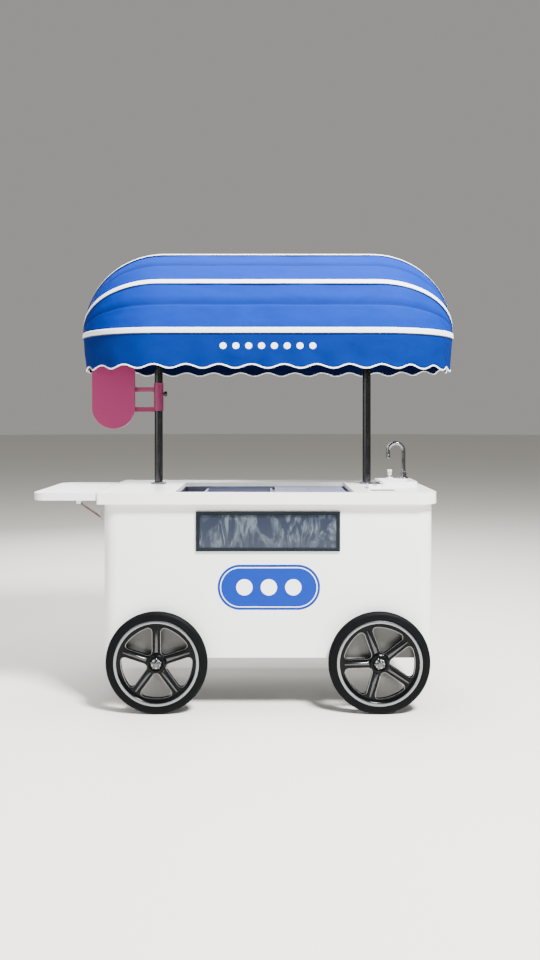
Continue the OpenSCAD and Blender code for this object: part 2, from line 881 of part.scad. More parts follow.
module stadium(r) {
  translate([-canopy_half, -r]) square([canopy_straight, 2 * r]);
  for (x = [-canopy_half, canopy_half]) translate([x, 0]) circle(r);
}

module canopy_valance() {
  in_frame() color("royalblue") translate([0, post_y, ring_z - valance_h])
    linear_extrude(valance_h) difference() {
      stadium(canopy_r);
      stadium(canopy_r - valance_t);
    }
}

/* sign */

module sign_panel() {
  r = sign_w / 2;
  in_frame() color("palevioletred") translate([0, post_y + sign_t / 2, 0]) rotate([90, 0, 0])
    linear_extrude(sign_t) {
      translate([sign_x1 - sign_w, sign_z + r]) square([sign_w, sign_h - sign_w]);
      for (z = [sign_z + r, sign_z + sign_h - r]) translate([sign_x1 - r, z]) circle(r);
    }
}

module sign_bracket() {
  in_frame() color("rosybrown") difference() {
    union() {
      translate([left_post_x, post_y, sleeve_z0]) cylinder(r = sleeve_r, h = sleeve_h);
      for (z = arm_z) translate([sign_x1 - 70, post_y + sign_t / 2, z - arm_h / 2])
        cube([left_post_x - sign_x1 + 70, arm_t, arm_h]);
    }
    translate([left_post_x, post_y, sleeve_z0 - arm_h])
      cylinder(r = post_r + 4 * fit, h = sleeve_h + 2 * arm_h);
    along_x([left_post_x, post_y, knob_z], knob_pin_r + fit, sleeve_r + cut);
  }
}

module sign_knob() {
  x = left_post_x + sleeve_r + gap;
  in_frame() color("black") {
    along_x([x, post_y, knob_z], knob_r, knob_w);
    along_x([left_post_x + post_r + gap, post_y, knob_z], knob_pin_r, sleeve_r - post_r + cut);
  }
}

/* drop leaf */

module hinge_knuckle(y, l, r) {
  along_y([hinge_x, y, hinge_z], r, l);
}

module shelf_leaf() {
  in_frame() color("gainsboro") difference() {
    union() {
      translate([0, 0, top_z - leaf_t]) linear_extrude(leaf_t)
        plan(leaf_x1 - leaf_l, leaf_y0, leaf_l, leaf_w, leaf_corner, leaf_side_corner / 2);
      for (y = hinge_y, s = [-1, 1]) {
        c = y + s * (knuckle_l + gap);
        hinge_knuckle(c - knuckle_l / 2, knuckle_l, knuckle_r);
        translate([hinge_x - 60, c - knuckle_l / 2, top_z - leaf_t - 3])
          cube([60, knuckle_l, 3]);
      }
      for (y = stay_y, s = [-1, 1]) {
        lug = y + s * (stay_w / 2 + 2 + gap) - 2;
        translate([stay_x - 10, lug, stay_z - 8]) cube([20, 4, top_z - leaf_t - stay_z + 8]);
      }
      for (y = stay_y) along_y([stay_x, y - stay_w / 2 - 4, stay_z], hinge_pin_r, stay_w + 8);
    }
    for (y = hinge_y) hinge_knuckle(y - 2 * knuckle_l, 4 * knuckle_l, hinge_pin_r + fit);
  }
}

module shelf_brackets() {
  foot = [stay_x + stay_l * cos(stay_slope), stay_z - stay_l * sin(stay_slope)];
  catch_x = foot[0] + stay_t / 2 + gap;
  in_frame() color("silver") {
    for (y = hinge_y) {
      hinge_knuckle(y - knuckle_l / 2, knuckle_l, knuckle_r);
      hinge_knuckle(y - 1.5 * knuckle_l - gap, 3 * knuckle_l + 2 * gap, hinge_pin_r);
      translate([-top_l / 2 - 2.5, y - knuckle_l / 2, body_top + 2]) cube([2.5, knuckle_l, 12]);
    }
    for (y = stay_y) translate([catch_x, y - stay_w / 2 - 4, foot[1] - 16])
      cube([-body_l / 2 - catch_x, stay_w + 8, 40]);
  }
}

module shelf_stays() {
  in_frame() color("slategray") for (y = stay_y)
    translate([stay_x, y, stay_z]) rotate([0, stay_slope, 0]) difference() {
      union() {
        translate([0, -stay_w / 2, -stay_t / 2]) cube([stay_l, stay_w, stay_t]);
        for (x = [0, stay_l]) along_y([x, -stay_w / 2, 0], stay_t / 2 + (x == 0 ? 1 : 0), stay_w);
      }
      along_y([0, -stay_w, 0], hinge_pin_r + fit, 2 * stay_w);
    }
}

/* sink corner */

module sink_basin() {
  x0 = basin_x0 + bowl_wall;
  y0 = basin_y0 + bowl_wall;
  l = basin_l - 2 * bowl_wall;
  w = basin_w - bowl_wall - deck_w;
  r = basin_corner - bowl_wall;
  bottom = top_z - bowl_d;
  in_frame() color("whitesmoke") difference() {
    union() {
      slab(basin_x0, basin_y0, top_z, basin_l, basin_w, basin_rise, basin_corner);
      slab(x0, y0, bottom, l, w, bowl_d + cut, r);
    }
    slab(x0 + bowl_t, y0 + bowl_t, bottom + bowl_t, l - 2 * bowl_t, w - 2 * bowl_t,
      bowl_d + basin_rise, r - bowl_t);
    translate([x0 + l / 2, y0 + w / 2, bottom - cut]) cylinder(r = drain_r, h = bowl_t + 2 * cut);
    translate([tap_x, tap_y, top_z - cut]) cylinder(r = pipe_d / 2, h = basin_rise + 2 * cut);
    translate([soap_x, tap_y, top_z - cut]) cylinder(r = neck_r + gap, h = basin_rise + 2 * cut);
  }
}

module tap_body() {
  in_frame() color("silver") translate([tap_x, tap_y, 0]) difference() {
    union() {
      translate([0, 0, deck_z]) cylinder(r = 24, h = 8);
      translate([0, 0, deck_z]) cylinder(r = 15, h = collar_z - deck_z);
      translate([0, 0, sheet_z - 40]) cylinder(r = pipe_d / 2 - 1, h = deck_z - sheet_z + 40);
      translate([0, 0, sheet_z - 12]) cylinder(r = 18, h = 12, $fn = 6);
    }
    translate([0, 0, collar_z - 20]) cylinder(r = pipe_d / 2 - 2 + fit, h = 20 + cut);
  }
}

module tap_spout() {
  r = pipe_d / 2;
  in_frame() color("silver") translate([tap_x, tap_y, 0]) {
    translate([0, 0, collar_z + gap]) cylinder(r = r, h = arch_z - collar_z - gap);
    translate([0, 0, collar_z - 19]) cylinder(r = r - 2, h = 20);
    translate([-arch_r, 0, arch_z]) rotate([90, 0, 0]) rotate_extrude(angle = 180)
      translate([arch_r, 0]) circle(r);
    difference() {
      translate([-2 * arch_r, 0, outlet_z]) cylinder(r = r, h = arch_z - outlet_z);
      translate([-2 * arch_r, 0, outlet_z - cut]) cylinder(r = r - 3, h = 12);
    }
  }
}

module soap_bottle() {
  in_frame() color("white") translate([soap_x, tap_y, 0]) difference() {
    union() {
      translate([0, 0, sheet_z - 115]) cylinder(r = 22, h = 110);
      translate([0, 0, sheet_z - 6]) cylinder(r = neck_r, h = deck_z - sheet_z + 7);
      translate([0, 0, deck_z]) cylinder(r = 18, h = 6);
    }
    translate([0, 0, deck_z - 30]) cylinder(r = stem_r + fit, h = 40);
  }
}

module soap_pump() {
  head_z = deck_z + 6 + pump_travel + gap;
  in_frame() color("white") translate([soap_x, tap_y, 0]) {
    translate([0, 0, deck_z - 12]) cylinder(r = stem_r, h = head_z - deck_z + 13);
    translate([0, 0, head_z]) cylinder(r = 13, h = 28);
    translate([0, 0, head_z + 20]) rotate([90, 0, 0]) cylinder(r = 5, h = 34);
  }
}

module spoon_box() {
  in_frame() color("whitesmoke") difference() {
    translate([box_x0, box_y0, top_z]) cube([box_l, box_w, box_h]);
    translate([box_x0 + box_t, box_y0 + box_t, top_z + box_t])
      cube([box_l - 2 * box_t, box_w - 2 * box_t, box_h]);
    along_x([box_x0 - cut, box_y0 + box_w, top_z + box_h + 3 + gap], 3 + gap, box_l + 2 * cut);
  }
}

module spoon_lid() {
  y = box_y0 + box_w;
  z = top_z + box_h + gap;
  in_frame() color("silver") {
    translate([box_x0, box_y0, z]) cube([box_l, box_w, 2]);
    along_x([box_x0, y, z + 3], 3, box_l);
    translate([box_x0 + box_l / 2 - 10, box_y0 - 6, z]) cube([20, 7, 2]);
  }
}

/* inside the cabinet */

module condensing_unit() {
  x = vent_x0;
  y = rear_y - rear_t - 280;
  in_frame() color("dimgray") {
    translate([x, y, inner_z]) cube([320, 270, 5]);
    translate([x + 90, y + 90, inner_z + 5]) cylinder(r = 72, h = 150);
    translate([x + 20, y + 200, inner_z + 5]) cube([280, 60, 220]);
    translate([x + 160, y + 165, inner_z + 120]) rotate([-90, 0, 0]) cylinder(r = 90, h = 36);
  }
}

module water_tanks() {
  size = 150;
  y = rear_y - rear_t - 15 - size;
  in_frame() color("white") for (x = [door_x0 + 50, door_x0 + 220])
    translate([x, y, inner_z]) {
      slab(0, 0, 0, size, size, 300, 20);
      translate([size / 2, size / 2, 300]) cylinder(r = 25, h = 22);
    }
}

module water_pump() {
  x = door_x0 + 330;
  in_frame() color("black") {
    translate([x, 20, inner_z]) cube([60, 120, 6]);
    along_y([x + 30, 20, inner_z + 30], 26, 120);
  }
}

/* screws and bolts */

module fasteners() {
  in_frame() color("silver") {
    at_posts() flange_holes() translate([0, 0, top_z + flange_t]) {
      cylinder(r = 5.5, h = 3);
      translate([0, 0, -flange_t - 15]) cylinder(r = screw_r, h = flange_t + 15);
    }
    for (side = [-1, 1]) caster_bolts(side) translate([0, 0, body_bottom - plate_t - 4]) {
      cylinder(r = 5.5, h = 4);
      translate([0, 0, 4]) cylinder(r = screw_r, h = plate_t + 8);
    }
  }
}

chassis_frame();
floor_panel();
body_shell();
rear_panel();
worktop();
well_liner();
insulation();
gelato_pans();
lid_track();
lid_left();
lid_right();
window_frame();
window_glass();
splash_plates();
wheel_axles();
wheel_bearings();
left_rim();
left_tyre();
left_hub_cap();
right_rim();
right_tyre();
right_hub_cap();
caster_plates();
left_caster_fork();
left_caster_axle();
left_caster_wheel();
left_caster_tread();
left_brake_pedal();
right_caster_fork();
right_caster_axle();
right_caster_wheel();
right_caster_tread();
right_brake_pedal();
canopy_posts();
post_flanges();
canopy_frame();
canopy_cover();
canopy_valance();
sign_panel();
sign_bracket();
sign_knob();
shelf_leaf();
shelf_brackets();
shelf_stays();
sink_basin();
tap_body();
tap_spout();
soap_bottle();
soap_pump();
spoon_box();
spoon_lid();
rear_door();
door_handle();
vent_grille();
control_panel();
thermostat_knob();
condensing_unit();
water_tanks();
water_pump();
fasteners();
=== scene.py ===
import json
import math

import bmesh
import bpy
from bpy.props import FloatProperty, FloatVectorProperty, IntProperty, PointerProperty
from mathutils import Matrix, Vector, noise

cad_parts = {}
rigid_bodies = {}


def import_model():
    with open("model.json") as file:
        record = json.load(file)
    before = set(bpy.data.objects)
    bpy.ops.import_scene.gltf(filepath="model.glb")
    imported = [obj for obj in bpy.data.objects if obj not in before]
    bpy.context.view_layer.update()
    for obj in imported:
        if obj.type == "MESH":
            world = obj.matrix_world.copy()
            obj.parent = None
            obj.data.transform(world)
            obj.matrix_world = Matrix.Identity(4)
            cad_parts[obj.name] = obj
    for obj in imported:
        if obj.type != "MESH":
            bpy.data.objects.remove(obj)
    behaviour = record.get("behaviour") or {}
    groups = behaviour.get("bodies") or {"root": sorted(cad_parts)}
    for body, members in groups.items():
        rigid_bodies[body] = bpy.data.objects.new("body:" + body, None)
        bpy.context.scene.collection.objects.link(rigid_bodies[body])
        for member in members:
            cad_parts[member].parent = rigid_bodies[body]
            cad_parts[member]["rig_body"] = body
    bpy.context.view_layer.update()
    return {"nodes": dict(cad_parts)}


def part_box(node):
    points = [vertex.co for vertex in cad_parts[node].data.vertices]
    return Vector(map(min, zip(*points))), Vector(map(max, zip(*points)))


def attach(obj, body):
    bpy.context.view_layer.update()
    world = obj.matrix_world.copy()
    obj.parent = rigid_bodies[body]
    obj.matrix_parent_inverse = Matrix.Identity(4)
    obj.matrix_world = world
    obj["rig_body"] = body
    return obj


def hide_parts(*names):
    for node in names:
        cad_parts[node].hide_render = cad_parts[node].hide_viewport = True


bl_info = {
    "name": "Push Vending Cart",
    "version": (1, 0, 0),
    "blender": (4, 5, 0),
    "location": "View3D > Sidebar > Cart",
    "description": "Builds a push vending cart for chilled desserts on its CAD frame",
    "category": "Object",
}

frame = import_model()


def middle(node):
    """The middle of a CAD node's box."""
    low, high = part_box(node)
    return (low + high) / 2


# The hood is a half cylinder with quarter spheres for ends, all about the ring's
# long axis.
HOOD_LOW, HOOD_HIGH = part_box("canopy_cover")
HOOD_X = (HOOD_LOW.x + HOOD_HIGH.x) / 2
HOOD_Y = (HOOD_LOW.y + HOOD_HIGH.y) / 2
HOOD_R = (HOOD_HIGH.y - HOOD_LOW.y) / 2
HOOD_HALF = (HOOD_HIGH.x - HOOD_LOW.x) / 2 - HOOD_R
RING_Z = HOOD_LOW.z
HEM_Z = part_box("canopy_valance")[0].z
QUARTER = math.pi / 2 * HOOD_R
BOW_RUN = 2 * QUARTER + 2 * HOOD_HALF
RING_RUN = 4 * HOOD_HALF + 4 * QUARTER
# Angles of the bows from upright, front to rear, in degrees.
BOWS = (-90, -57, -22, 22, 57, 90)
# Half of what the painted shadow strip adds to a band's width, and its run up from the
# edge.
PAINTED_SHADOW_EXTRA = 0.0035
PAINTED_SHADOW_RUN = 0.0042

BODY_LOW, BODY_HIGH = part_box("body_shell")
TOP_LOW, TOP_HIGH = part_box("worktop")


def linear(code):
    """Linear red, green and blue of an sRGB hex colour."""
    parts = [int(code[i : i + 2], 16) / 255 for i in (1, 3, 5)]
    return tuple(
        c / 12.92 if c <= 0.04045 else ((c + 0.055) / 1.055) ** 2.4 for c in parts
    )


# ---------------------------------------------------------------- sizes and colours


class CartSizes(bpy.types.PropertyGroup):
    """Sizes that the looks of the cart depend on."""

    cloth_slack: FloatProperty(
        name="Cloth slack",
        description="How far the hood's cloth sinks between two bows",
        default=0.007,
        unit="LENGTH",
    )
    band_width: FloatProperty(
        name="Band width",
        description="Width of the white webbing over each bow",
        default=0.023,
        unit="LENGTH",
    )
    hem_waves: IntProperty(
        name="Hem waves",
        description="Number of waves round the valance's lower edge",
        default=31,
    )
    hem_depth: FloatProperty(
        name="Hem depth",
        description="Height of the valance's waves from crest to trough",
        default=0.019,
        unit="LENGTH",
    )
    edge_round: FloatProperty(
        name="Edge radius",
        description="Radius of the worktop's and the leaf's eased edges",
        default=0.009,
        unit="LENGTH",
    )
    spoke_width: FloatProperty(
        name="Spoke width",
        description="Width of a wheel's spoke",
        default=0.042,
        unit="LENGTH",
    )
    badge_width: FloatProperty(
        name="Badge width",
        description="Width of the badge on the front panel",
        default=0.47,
        unit="LENGTH",
    )


class CartColours(bpy.types.PropertyGroup):
    """Colours of the cart's main finishes."""

    hood: FloatVectorProperty(
        name="Hood",
        description="Canvas over the bows",
        default=linear("#002a86"),
        subtype="COLOR",
        size=3,
    )
    valance: FloatVectorProperty(
        name="Valance",
        description="Canvas below the ring",
        default=linear("#00216a"),
        subtype="COLOR",
        size=3,
    )
    lining: FloatVectorProperty(
        name="Lining",
        description="Back of the canvas",
        default=linear("#04103c"),
        subtype="COLOR",
        size=3,
    )
    panel: FloatVectorProperty(
        name="Panel",
        description="Powder coat of the body panels",
        default=linear("#f1f1f1"),
        subtype="COLOR",
        size=3,
    )
    counter: FloatVectorProperty(
        name="Counter",
        description="Solid surface of the worktop",
        default=linear("#efeeec"),
        subtype="COLOR",
        size=3,
    )
    sign: FloatVectorProperty(
        name="Sign",
        description="Powder coat of the sign",
        default=linear("#952a5e"),
        subtype="COLOR",
        size=3,
    )
    badge: FloatVectorProperty(
        name="Badge",
        description="Vinyl of the badge",
        default=linear("#002d8e"),
        subtype="COLOR",
        size=3,
    )


# ---------------------------------------------------------------- finishes


def add(tree, kind, inputs=(), **settings):
    """Adds a node, with its settings, and sets or links its inputs."""
    made = tree.nodes.new(kind)
    for key, value in settings.items():
        setattr(made, key, value)
    for key, value in dict(inputs).items():
        if isinstance(value, bpy.types.NodeSocket):
            tree.links.new(value, made.inputs[key])
        else:
            made.inputs[key].default_value = value
    return made


def blank_finish(name, colour, roughness, metallic=0.0, **more):
    """A new material, its tree, its shader and the object's own coordinates."""
    material = bpy.data.materials.new(name)
    material.use_nodes = True
    tree = material.node_tree
    shader = tree.nodes["Principled BSDF"]
    if isinstance(colour, str):
        colour = linear(colour)
    shader.inputs["Base Color"].default_value = (*colour, 1.0)
    shader.inputs["Roughness"].default_value = roughness
    shader.inputs["Metallic"].default_value = metallic
    for key, value in more.items():
        shader.inputs[key.replace("_", " ")].default_value = value
    material.diffuse_color = (*colour, 1.0)
    place = add(tree, "ShaderNodeTexCoord").outputs["Object"]
    return material, tree, shader, place


def shaded(colour, amount):
    """A colour made lighter or darker by a share of itself."""
    if isinstance(colour, str):
        colour = linear(colour)
    return (*(min(c * amount, 1.0) for c in colour), 1.0)


def powder_coat(name, colour, roughness=0.36):
    """Powder coat baked on sheet steel: a satin skin with a faint orange peel."""
    material, tree, shader, place = blank_finish(
        name, colour, roughness, Coat_Weight=0.12, Coat_Roughness=0.25
    )
    # Orange peel has cells of about 2.5 mm. They are drawn at 5 mm so that they show.
    peel = add(
        tree, "ShaderNodeTexNoise", {"Vector": place, "Scale": 200.0, "Detail": 2.0}
    )
    # Sheet steel is a little wavy, over some 300 mm.
    wave = add(
        tree, "ShaderNodeTexNoise", {"Vector": place, "Scale": 3.5, "Detail": 1.0}
    )
    height = add(
        tree,
        "ShaderNodeMath",
        {0: wave.outputs[0], 1: 8.0, 2: peel.outputs[0]},
        operation="MULTIPLY_ADD",
    )
    bump = add(
        tree,
        "ShaderNodeBump",
        {"Strength": 0.25, "Distance": 0.0003, "Height": height.outputs[0]},
    )
    tree.links.new(bump.outputs[0], shader.inputs["Normal"])
    dust = add(
        tree,
        "ShaderNodeMix",
        {0: wave.outputs[0], 6: shaded(colour, 0.95), 7: shaded(colour, 1.03)},
        data_type="RGBA",
    )
    tree.links.new(dust.outputs[2], shader.inputs["Base Color"])
    wear = add(
        tree,
        "ShaderNodeMapRange",
        {
            "Value": peel.outputs[0],
            "To Min": roughness - 0.05,
            "To Max": roughness + 0.07,
        },
    )
    tree.links.new(wear.outputs[0], shader.inputs["Roughness"])
    return material


def solid_surface(name, colour):
    """Cast acrylic stone, sanded and polished: nearly white, with fine grey specks."""
    material, tree, shader, place = blank_finish(
        name, colour, 0.3, Coat_Weight=0.1, Coat_Roughness=0.2
    )
    # Filler grains are about 0.8 mm. They are drawn at 2 mm.
    grain = add(
        tree,
        "ShaderNodeTexVoronoi",
        {"Vector": place, "Scale": 480.0, "Randomness": 1.0},
    )
    cloud = add(
        tree, "ShaderNodeTexNoise", {"Vector": place, "Scale": 9.0, "Detail": 3.0}
    )
    speck = add(
        tree,
        "ShaderNodeMapRange",
        {"Value": grain.outputs["Distance"], "From Min": 0.08, "From Max": 0.35},
    )
    base = add(
        tree,
        "ShaderNodeMix",
        {0: speck.outputs[0], 6: shaded(colour, 0.86), 7: shaded(colour, 1.0)},
        data_type="RGBA",
    )
    tinted = add(
        tree,
        "ShaderNodeMix",
        {0: cloud.outputs[0], 6: base.outputs[2], 7: shaded(colour, 1.02)},
        data_type="RGBA",
    )
    tree.links.new(tinted.outputs[2], shader.inputs["Base Color"])
    # Fine wiping scratches break the gloss.
    swirl = add(
        tree,
        "ShaderNodeTexNoise",
        {"Vector": place, "Scale": 38.0, "Detail": 6.0, "Distortion": 2.0},
    )
    gloss = add(
        tree,
        "ShaderNodeMapRange",
        {"Value": swirl.outputs[0], "To Min": 0.22, "To Max": 0.42},
    )
    tree.links.new(gloss.outputs[0], shader.inputs["Roughness"])
    bump = add(
        tree,
        "ShaderNodeBump",
        {"Strength": 0.12, "Distance": 0.0002, "Height": swirl.outputs[0]},
    )
    tree.links.new(bump.outputs[0], shader.inputs["Normal"])
    return material


def brushed_steel(name, colour, roughness=0.3, along=2):
    """Belt-brushed stainless sheet: long fine lines that spread its highlights."""
    material, tree, shader, place = blank_finish(name, colour, roughness, 1.0)
    # Belt lines are 0.1 mm apart. They are drawn at 1 mm, and run along one axis.
    stretch = [900.0, 900.0, 900.0]
    stretch[along] = 6.0
    lines = add(tree, "ShaderNodeMapping", {"Vector": place, "Scale": stretch})
    brush = add(
        tree,
        "ShaderNodeTexNoise",
        {"Vector": lines.outputs[0], "Scale": 1.0, "Detail": 3.0},
    )
    hand = add(
        tree, "ShaderNodeTexNoise", {"Vector": place, "Scale": 14.0, "Detail": 4.0}
    )
    mixed = add(
        tree,
        "ShaderNodeMath",
        {0: brush.outputs[0], 1: 0.6, 2: hand.outputs[0]},
        operation="MULTIPLY_ADD",
    )
    gloss = add(
        tree,
        "ShaderNodeMapRange",
        {
            "Value": mixed.outputs[0],
            "From Min": 0.5,
            "From Max": 1.1,
            "To Min": roughness - 0.09,
            "To Max": roughness + 0.12,
        },
    )
    tree.links.new(gloss.outputs[0], shader.inputs["Roughness"])
    tone = add(
        tree,
        "ShaderNodeMix",
        {0: brush.outputs[0], 6: shaded(colour, 0.86), 7: shaded(colour, 1.1)},
        data_type="RGBA",
    )
    tree.links.new(tone.outputs[2], shader.inputs["Base Color"])
    bump = add(
        tree,
        "ShaderNodeBump",
        {"Strength": 0.2, "Distance": 0.0001, "Height": brush.outputs[0]},
    )
    tree.links.new(bump.outputs[0], shader.inputs["Normal"])
    return material


def chrome_plate(name, colour="#d5d8dc"):
    """Bright chrome over brass: a mirror with faint finger marks."""
    material, tree, shader, place = blank_finish(name, colour, 0.06, 1.0)
    marks = add(
        tree,
        "ShaderNodeTexNoise",
        {"Vector": place, "Scale": 60.0, "Detail": 5.0, "Distortion": 1.0},
    )
    gloss = add(
        tree,
        "ShaderNodeMapRange",
        {
            "Value": marks.outputs[0],
            "From Min": 0.4,
            "From Max": 0.75,
            "To Min": 0.04,
            "To Max": 0.16,
        },
    )
    tree.links.new(gloss.outputs[0], shader.inputs["Roughness"])
    return material


# A wave texture has 3.18 bands to the metre at a scale of 1. Threads and ribs are
# drawn about 3 mm apart.
THREAD_SCALE = 106.103


def canvas(name, colour, seams=()):
    """Coated polyester canvas: plain weave under a thin matt coat, with painted shade
    beside any sewn seams.
    """
    material, tree, shader, place = blank_finish(
        name, colour, 0.75, Specular_IOR_Level=0.07
    )
    run = add(tree, "ShaderNodeUVMap", uv_map="run").outputs[0]
    # Threads are 0.5 mm apart. They are drawn at 3 mm so that the weave shows.
    warp = add(
        tree,
        "ShaderNodeTexWave",
        {"Vector": run, "Scale": THREAD_SCALE, "Distortion": 0.3},
        bands_direction="X",
    )
    weft = add(
        tree,
        "ShaderNodeTexWave",
        {"Vector": run, "Scale": THREAD_SCALE, "Distortion": 0.3},
        bands_direction="Y",
    )
    weave = add(
        tree,
        "ShaderNodeMath",
        {0: warp.outputs[1], 1: weft.outputs[1]},
        operation="MULTIPLY",
    )
    # Soft creases from packing are about 90 mm apart and run along the hood.
    creased = add(
        tree, "ShaderNodeMapping", {"Vector": place, "Scale": (5.0, 9.0, 9.0)}
    )
    crease = add(
        tree,
        "ShaderNodeTexNoise",
        {"Vector": creased.outputs[0], "Scale": 1.3, "Detail": 3.0, "Distortion": 0.6},
    )
    height = add(
        tree,
        "ShaderNodeMath",
        {0: crease.outputs[0], 1: 14.0, 2: weave.outputs[0]},
        operation="MULTIPLY_ADD",
    )
    bump = add(
        tree,
        "ShaderNodeBump",
        {"Strength": 0.45, "Distance": 0.0006, "Height": height.outputs[0]},
    )
    tree.links.new(bump.outputs[0], shader.inputs["Normal"])
    tone = add(
        tree,
        "ShaderNodeMix",
        {0: crease.outputs[0], 6: shaded(colour, 0.84), 7: shaded(colour, 1.16)},
        data_type="RGBA",
    )
    colour_out = tone.outputs[2]
    if seams:
        across = add(tree, "ShaderNodeSeparateXYZ", {0: run}).outputs[1]
        for at, side in seams:
            # Painted shade darkens the side of each seam that the cloth folds to,
            # fading over 50 mm.
            near = add(
                tree,
                "ShaderNodeMath",
                {0: across, 1: -at},
                operation="ADD",
            )
            fade = add(
                tree,
                "ShaderNodeMapRange",
                {
                    "Value": near.outputs[0],
                    "From Min": 0.0,
                    "From Max": side * 0.05,
                    "To Min": 0.55,
                    "To Max": 1.0,
                },
            )
            gate = add(
                tree,
                "ShaderNodeMath",
                {0: near.outputs[0], 1: 0.0},
                operation="GREATER_THAN" if side > 0 else "LESS_THAN",
            )
            shade = add(
                tree,
                "ShaderNodeMix",
                {0: gate.outputs[0], 2: 1.0, 3: fade.outputs[0]},
                data_type="FLOAT",
            )
            dark = add(
                tree,
                "ShaderNodeMix",
                {0: 1.0, 6: colour_out, 7: shade.outputs[0]},
                data_type="RGBA",
                blend_type="MULTIPLY",
            )
            colour_out = dark.outputs[2]
    tree.links.new(colour_out, shader.inputs["Base Color"])
    return material


def printed_canvas(name, colour, centre, pitch, count):
    """The valance's canvas with a plain row of white dots printed across its front."""
    dot_radius = 0.016
    material = canvas(name, colour)
    tree = material.node_tree
    shader = tree.nodes["Principled BSDF"]
    cloth = shader.inputs["Base Color"].links[0].from_socket
    run = add(tree, "ShaderNodeUVMap", uv_map="run").outputs[0]
    split = add(tree, "ShaderNodeSeparateXYZ", {0: run})
    # The map starts at the middle of the front, so the left half wraps from its
    # far end.
    half = add(
        tree,
        "ShaderNodeMath",
        {0: split.outputs[0], 1: RING_RUN / 2, 2: -RING_RUN / 2},
        operation="WRAP",
    )
    cell = add(
        tree, "ShaderNodeMath", {0: half.outputs[0], 1: pitch}, operation="SNAP"
    )
    within = add(
        tree,
        "ShaderNodeMath",
        {0: half.outputs[0], 1: cell.outputs[0]},
        operation="SUBTRACT",
    )
    centred = add(
        tree,
        "ShaderNodeMath",
        {0: within.outputs[0], 1: pitch / 2},
        operation="SUBTRACT",
    )
    level = add(
        tree,
        "ShaderNodeMath",
        {0: split.outputs[1], 1: centre},
        operation="SUBTRACT",
    )
    offset = add(
        tree, "ShaderNodeCombineXYZ", {0: centred.outputs[0], 1: level.outputs[0]}
    )
    away = add(
        tree, "ShaderNodeVectorMath", {0: offset.outputs[0]}, operation="LENGTH"
    )
    dot = add(
        tree,
        "ShaderNodeMapRange",
        {
            "Value": away.outputs["Value"],
            "From Min": dot_radius + 0.0005,
            "From Max": dot_radius - 0.0005,
            "To Min": 0.0,
            "To Max": 1.0,
        },
    )
    reach = add(tree, "ShaderNodeMath", {0: half.outputs[0]}, operation="ABSOLUTE")
    inside = add(
        tree,
        "ShaderNodeMath",
        {0: reach.outputs[0], 1: pitch * count / 2},
        operation="LESS_THAN",
    )
    ink = add(
        tree,
        "ShaderNodeMath",
        {0: dot.outputs[0], 1: inside.outputs[0]},
        operation="MULTIPLY",
    )
    printed = add(
        tree,
        "ShaderNodeMix",
        {0: ink.outputs[0], 6: cloth, 7: (*linear("#f4f6f8"), 1.0)},
        data_type="RGBA",
    )
    tree.links.new(printed.outputs[2], shader.inputs["Base Color"])
    return material


def webbing(name, colour="#f4f7fb"):
    """Woven polyester tape, sewn down along both edges."""
    material, tree, shader, place = blank_finish(name, colour, 0.6, Sheen_Weight=0.2)
    run = add(tree, "ShaderNodeUVMap", uv_map="run").outputs[0]
    # The tape's ribs are 1 mm apart, drawn at 3 mm.
    ribs = add(
        tree,
        "ShaderNodeTexWave",
        {"Vector": run, "Scale": THREAD_SCALE, "Distortion": 0.5},
        bands_direction="X",
    )
    bump = add(
        tree,
        "ShaderNodeBump",
        {"Strength": 0.3, "Distance": 0.0004, "Height": ribs.outputs[1]},
    )
    tree.links.new(bump.outputs[0], shader.inputs["Normal"])
    soil = add(
        tree, "ShaderNodeTexNoise", {"Vector": place, "Scale": 22.0, "Detail": 4.0}
    )
    tone = add(
        tree,
        "ShaderNodeMix",
        {0: soil.outputs[0], 6: shaded(colour, 0.9), 7: shaded(colour, 1.02)},
        data_type="RGBA",
    )
    tree.links.new(tone.outputs[2], shader.inputs["Base Color"])
    return material


def gloss_enamel(name, colour, roughness=0.12):
    """Gloss lacquer on cast aluminium: deep, wet-looking, with a slight ripple."""
    material, tree, shader, place = blank_finish(
        name, colour, roughness, Specular_IOR_Level=0.09
    )
    ripple = add(
        tree, "ShaderNodeTexNoise", {"Vector": place, "Scale": 45.0, "Detail": 2.0}
    )
    bump = add(
        tree,
        "ShaderNodeBump",
        {"Strength": 0.15, "Distance": 0.0004, "Height": ripple.outputs[0]},
    )
    tree.links.new(bump.outputs[0], shader.inputs["Normal"])
    dust = add(
        tree,
        "ShaderNodeMapRange",
        {
            "Value": ripple.outputs[0],
            "To Min": roughness - 0.04,
            "To Max": roughness + 0.1,
        },
    )
    tree.links.new(dust.outputs[0], shader.inputs["Roughness"])
    return material


def turned_alloy(name, colour, centre, roughness=0.24):
    """Aluminium faced on a lathe: bright, with rings of tool marks round the axle."""
    material, tree, shader, place = blank_finish(name, colour, roughness, 1.0)
    # A Mapping node puts the rings' middle on the wheel's axle.
    about = add(
        tree,
        "ShaderNodeMapping",
        {"Vector": place, "Location": [-c for c in centre]},
    )
    # Tool marks are 0.2 mm apart, drawn at 1.5 mm.
    rings = add(
        tree,
        "ShaderNodeTexWave",
        {"Vector": about.outputs[0], "Scale": 210.0, "Distortion": 1.0},
        wave_type="RINGS",
        rings_direction="Y",
    )
    gloss = add(
        tree,
        "ShaderNodeMapRange",
        {
            "Value": rings.outputs[1],
            "To Min": roughness - 0.06,
            "To Max": roughness + 0.1,
        },
    )
    tree.links.new(gloss.outputs[0], shader.inputs["Roughness"])
    bump = add(
        tree,
        "ShaderNodeBump",
        {"Strength": 0.1, "Distance": 0.0002, "Height": rings.outputs[1]},
    )
    tree.links.new(bump.outputs[0], shader.inputs["Normal"])
    return material


